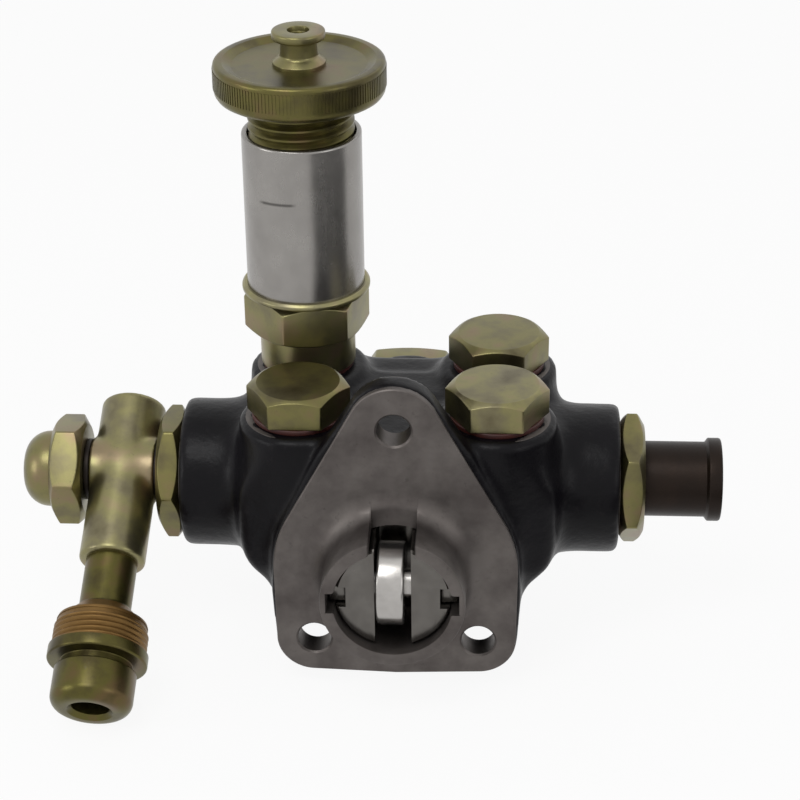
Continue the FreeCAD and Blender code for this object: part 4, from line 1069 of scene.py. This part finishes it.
class PUMP_OT_tappet(bpy.types.Operator):
    """Build the roller tappet that shows in the hub's mouth"""

    bl_idname = "pump.tappet"
    bl_label = "Roller tappet"

    def execute(self, context):
        # The tappet's copy of the ground steel is darker (shade 104) and the roller's and pin's copy is
        # lighter (shade 176); their roughness is the same.
        steel = finish("tappet_steel", bright_steel, 104)
        lighter_roller_steel = finish("roller_steel", bright_steel, 176)
        mesh = softened("tappet_body", 0.35)
        piece("tappet_shell", mesh, "tappet", steel, ["tappet_body"])
        mesh = softened("guide_blocks", 0.4)
        piece("guide_block_pair", mesh, "tappet", steel, ["guide_blocks"])
        mesh = bmesh.new()
        ring = [(4.3, -3.6), (11, -3.6, 0.8), (11, 3.6, 0.8), (4.3, 3.6)]
        lathe(mesh, seat((-0.7, ROLLER_DEPTH, 0), RIGHT), ring, 96)
        piece("roller_ring", mesh, "roller", lighter_roller_steel, ["roller"])
        mesh = bmesh.new()
        rod_ends = [(0, -12.3), (4, -12.3, 0.5), (4, 12.3, 0.5), (0, 12.3)]
        lathe(mesh, seat((0, ROLLER_DEPTH, 0), RIGHT), rod_ends, 48)
        piece("pin_rod", mesh, "tappet", lighter_roller_steel, ["roller_pin"])
        return {"FINISHED"}


class PUMP_OT_inlet(bpy.types.Operator):
    """Build the inlet side: adaptor, banjo, washers, cap nut and pipe union"""

    bl_idname = "pump.inlet"
    bl_label = "Inlet side"

    def execute(self, context):
        arm = (0, ARM.y, ARM.z)
        frame = seat(arm, LEFT)
        mesh = bmesh.new()
        head = bevelled(ARM_HEX, ARM_FACE, ARM_END, True, 6.1)
        hexed(mesh, seat(arm, LEFT, 34), ARM_HEX, head, 0.9)
        metal = zinc("zinc_inlet", arm, LEFT, -22)
        piece("inlet_hex", mesh, "housing", metal, ["inlet_adaptor"])
        metal = zinc("zinc_banjo", BANJO, tuple(LEG), 4)
        data = grown("banjo_bar", banjo_shape, {"Voxel size": 0.42, "Blend": 3.0, "Finish": metal})
        dressed("banjo_bar", data, "housing", metal, ["banjo_body"], 60)
        dark = finish("banjo_washer_dark", dark_steel, (26, 23, 22), (48, 42, 38))
        mesh = bmesh.new()
        for start in (ARM_END, CAP_NUT_FACE - WASHER):
            end = start + WASHER
            lathe(mesh, frame, [(6.1, start), (8.5, start, 0.4), (8.5, end, 0.4), (6.1, end)], 64)
        piece("banjo_rings", mesh, "housing", dark, ["banjo_washers"])
        mesh = bmesh.new()
        hexed(mesh, seat(arm, LEFT, 40), CAP_HEX, bevelled(CAP_HEX, CAP_NUT_FACE, 96.1, True, 6.1), 0.8)
        dome = [(0, 95.6), (10.5, 95.6), *arc(3.7, 97.7, 6.8, 0, 90, 10), (0, CAP_NUT_END)]
        lathe(mesh, frame, dome, 72)
        metal = zinc("zinc_cap_nut", arm, LEFT, -8)
        piece("cap_nut_hex", mesh, "housing", metal, ["cap_nut"])
        stub = seat(BANJO, LEG)
        mesh = bmesh.new()
        neck = [(3.5, 29), (7.0, 29), (7.0, 43, 1.0), (12.7, 48.5, 0.3)]
        after = [(12.7, 55.5), (13.4, 55.5, 0.3), (13.4, 59.0, 0.6), (9.5, 59.0, 0.3), (9.5, 61.2, 0.3)]
        after += [(11, 61.2, 0.5), *arc(7.5, 69, 3.5, 0, 90), (6.2, 72.5, 0.2), (5, 71.3, 0.2)]
        after += [(5, 43), (3.5, 41.5)]
        threaded(mesh, stub, rounded(neck), rounded(after), 12.7, 0.5, 1.5, 48.8, 55.2)
        first, second = (92, 68, 36), (134, 104, 60)
        brown = finish("union_brown", dark_steel, first, second)
        gold = zinc("zinc_union", BANJO, tuple(LEG), -40)
        made = piece("union_pipe", mesh, "housing", gold, ["union_stub"])
        made.data.materials.append(brown)
        for polygon in made.data.polygons:
            reach = (polygon.center / MM - BANJO).dot(LEG)
            if 43.4 < reach < 57.0:
                polygon.material_index = 1
        return {"FINISHED"}


class PUMP_OT_outlet(bpy.types.Operator):
    """Build the outlet side: adaptor and dark hose nipple"""

    bl_idname = "pump.outlet"
    bl_label = "Outlet side"

    def execute(self, context):
        arm = (0, ARM.y, ARM.z)
        frame = seat(arm, RIGHT)
        mesh = bmesh.new()
        head = bevelled(ARM_HEX, ARM_FACE, ARM_END, True, 8.6)
        hexed(mesh, seat(arm, RIGHT, 47), ARM_HEX, head, 0.9)
        metal = zinc("zinc_outlet", arm, RIGHT, -14)
        piece("outlet_hex", mesh, "housing", metal, ["outlet_adaptor"])
        mesh = bmesh.new()
        tube = [(6.5, 57.5), (8.5, 57.5), (8.5, 66.2), (10.3, 66.2, 0.3), (10.3, 83.0, 0.4)]
        tube += [(11.4, 83.8, 0.6), (11.4, 87.3, 0.8), (6.9, 87.3, 0.4), (6.5, 86.5)]
        lathe(mesh, frame, tube, 96)
        brown = finish("nipple_brown", dark_steel, (26, 20, 17), (42, 32, 25))
        piece("hose_stub", mesh, "housing", brown, ["hose_nipple"])
        return {"FINISHED"}


INNER_FINISHES = {
    "steel": ["hollow_stud", "pressure_spindle", "plunger", "primer_rod", "primer_stop_ring"],
    "spring": ["plunger_spring"],
    "rubber": ["piston_seal"],
    "brass": ["primer_piston"],
}


class PUMP_OT_inside(bpy.types.Operator):
    """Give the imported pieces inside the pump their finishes"""

    bl_idname = "pump.inside"
    bl_label = "Inner pieces"

    def execute(self, context):
        finishes = {
            "steel": finish("inner_steel", bright_steel, 150),
            "spring": finish("spring_steel", dark_steel, (70, 72, 76), (110, 112, 118)),
            "rubber": finish("seal_rubber", seal_rubber),
            "brass": finish("piston_metal", dark_steel, (150, 128, 78), (176, 152, 96)),
            "washer": finish("rear_washer_red", washer_red),
        }
        chosen = {node: kind for kind, nodes in INNER_FINISHES.items() for node in nodes}
        for name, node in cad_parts.items():
            if node.hide_render:
                continue
            kind = chosen.get(name, "steel")
            if "spring" in name:
                kind = "spring"
            if "washer" in name:
                kind = "washer"
            node.data.materials.clear()
            node.data.materials.append(finishes[kind])
        return {"FINISHED"}


AMBIENT = 0.4
FLOOR_GLOW = 0.92


def shown_white(tree):
    """1 for the rays that show the background: the camera's, reflections and views through glass."""
    path = tree.node("ShaderNodeLightPath").socket.node
    rays = [Value(tree, path.outputs[f"Is {kind} Ray"]) for kind in ("Camera", "Glossy", "Transmission")]
    return rays[0].most(rays[1]).most(rays[2])


def laid(context, name, mesh, material):
    """A flat sheet of the stage from a mesh in metres."""
    data = bpy.data.meshes.new(name)
    mesh.to_mesh(data)
    mesh.free()
    data.materials.append(material)
    sheet = bpy.data.objects.new(name, data)
    context.scene.collection.objects.link(sheet)
    return sheet


def floor_paint(tree, colour):
    """Pale floor that shows white to the camera and keeps the shadow."""
    spot = tree.place()
    cloud = tree.noise(spot, 0.004, 2)
    shade = tree.mix(cloud, tuple(part * 0.985 for part in colour) + (1.0,), tuple(colour) + (1.0,))
    return {"Base Color": shade, "Roughness": 0.6}


class PUMP_OT_stage(bpy.types.Operator):
    """Set up floor, backdrop, lamps and camera"""

    bl_idname = "pump.stage"
    bl_label = "Studio"

    def execute(self, context):
        sizes = context.scene.pump_stage
        level = CAD_BOX[0][2] - 0.0003
        material = finish("floor_paint", floor_paint, sizes.floor)
        tree = Tree(material.node_tree)
        shader = next(n for n in material.node_tree.nodes if n.bl_idname == "ShaderNodeBsdfPrincipled")
        output = next(n for n in material.node_tree.nodes if n.bl_idname == "ShaderNodeOutputMaterial")
        glow = tree.node("ShaderNodeEmission", None, {"Color": WHITE, "Strength": 1.0})
        blend = {0: shown_white(tree) * FLOOR_GLOW, 1: Value(tree, shader.outputs[0]), 2: glow}
        both = tree.node("ShaderNodeMixShader", None, blend)
        material.node_tree.links.new(both.socket, output.inputs["Surface"])
        mesh = bmesh.new()
        bmesh.ops.create_circle(mesh, cap_ends=True, radius=4.0, segments=96)
        bmesh.ops.translate(mesh, vec=(0, 0, level), verts=mesh.verts)
        laid(context, "floor", mesh, material)
        self.lay_flag(context, level)
        self.light_world(context)
        target = Vector((0, 0.03, 0.02))
        lamps = [
            ("key", (-0.2, -0.35, 0.75), 0.4, sizes.key),
            ("fill", (0.7, -0.5, 0.35), 0.3, sizes.key * 0.25),
            ("side", (-0.75, -0.3, 0.25), 0.3, sizes.key * 0.4),
            ("back", (0.4, 0.7, 0.75), 0.4, sizes.key * 0.2),
        ]
        for name, spot, size, power in lamps:
            lamp = bpy.data.lights.new(name, "AREA")
            lamp.size = size
            lamp.energy = power
            holder = bpy.data.objects.new(name, lamp)
            holder.location = spot
            holder.rotation_euler = (Vector(spot) - target).to_track_quat("Z", "Y").to_euler()
            context.scene.collection.objects.link(holder)
        self.set_camera(context, sizes)
        context.scene.view_settings.view_transform = "Standard"
        return {"FINISHED"}

    def lay_flag(self, context, level):
        """A black card in front and to the right that only the metal's reflections show."""
        outline = [(0.05, -0.08), (0.13, -0.08), (0.15, 0.06), (0.8, 0.06), (0.8, -0.7), (0.22, -0.7)]
        mesh = bmesh.new()
        mesh.faces.new([mesh.verts.new((x, y, level + 0.001)) for x, y in outline])
        bmesh.ops.recalc_face_normals(mesh, faces=mesh.faces)
        flag = laid(context, "flag", mesh, finish("flag_cloth", seal_rubber))
        flag.visible_camera = flag.visible_diffuse = flag.visible_shadow = False

    def light_world(self, context):
        world = bpy.data.worlds.new("studio")
        context.scene.world = world
        world.use_nodes = True
        world.node_tree.nodes.clear()
        tree = Tree(world.node_tree)
        strength = shown_white(tree) * (1 - AMBIENT) + AMBIENT
        glow = tree.node("ShaderNodeBackground", None, {"Color": WHITE, "Strength": strength})
        tree.node("ShaderNodeOutputWorld", None, {"Surface": glow})

    def set_camera(self, context, sizes):
        lift, yaw, roll = (math.radians(angle) for angle in (28.384, 3.279, -0.692))
        target = Vector((0.000361, 0.025, 0.038182))
        back = Vector((math.sin(yaw) * math.cos(lift), -math.cos(yaw) * math.cos(lift), math.sin(lift)))
        right = Vector((math.cos(yaw), math.sin(yaw), 0))
        up = back.cross(right)
        turned_right = right * math.cos(roll) + up * math.sin(roll)
        turned_up = up * math.cos(roll) - right * math.sin(roll)
        facing = Matrix((turned_right, turned_up, back)).transposed().to_4x4()
        camera = bpy.data.cameras.new("camera")
        camera.lens = sizes.lens
        camera.sensor_width = 36
        camera.clip_end = 20
        holder = bpy.data.objects.new("camera", camera)
        holder.matrix_world = Matrix.Translation(target + back * sizes.distance) @ facing
        context.scene.collection.objects.link(holder)
        context.scene.camera = holder


class PUMP_PT_panel(bpy.types.Panel):
    """Lists the pump's builders and their sizes"""

    bl_idname = "PUMP_PT_panel"
    bl_label = "Hand primer pump"
    bl_space_type = "VIEW_3D"
    bl_region_type = "UI"
    bl_category = "Primer pump"

    def draw(self, context):
        for builder in BUILDERS:
            self.layout.operator(builder.bl_idname)
        for name, group in GROUPS.items():
            for label in group.__annotations__:
                self.layout.prop(getattr(context.scene, name), label)


BUILDERS = [
    PUMP_OT_casting,
    PUMP_OT_plugs,
    PUMP_OT_primer,
    PUMP_OT_knob,
    PUMP_OT_tappet,
    PUMP_OT_inlet,
    PUMP_OT_outlet,
    PUMP_OT_inside,
    PUMP_OT_stage,
]
GROUPS = {"pump_casting": CastingSettings, "pump_knob": KnobSettings, "pump_stage": StageSettings}


def register():
    for known in [*GROUPS.values(), *BUILDERS, PUMP_PT_panel]:
        bpy.utils.register_class(known)
    for name, group in GROUPS.items():
        setattr(bpy.types.Scene, name, bpy.props.PointerProperty(type=group))


def unregister():
    for name in GROUPS:
        delattr(bpy.types.Scene, name)
    for known in [PUMP_PT_panel, *reversed(BUILDERS), *GROUPS.values()]:
        bpy.utils.unregister_class(known)


def main():
    register()
    for builder in BUILDERS:
        group, name = builder.bl_idname.split(".")
        getattr(getattr(bpy.ops, group), name)()


if __name__ == "__main__":
    main()
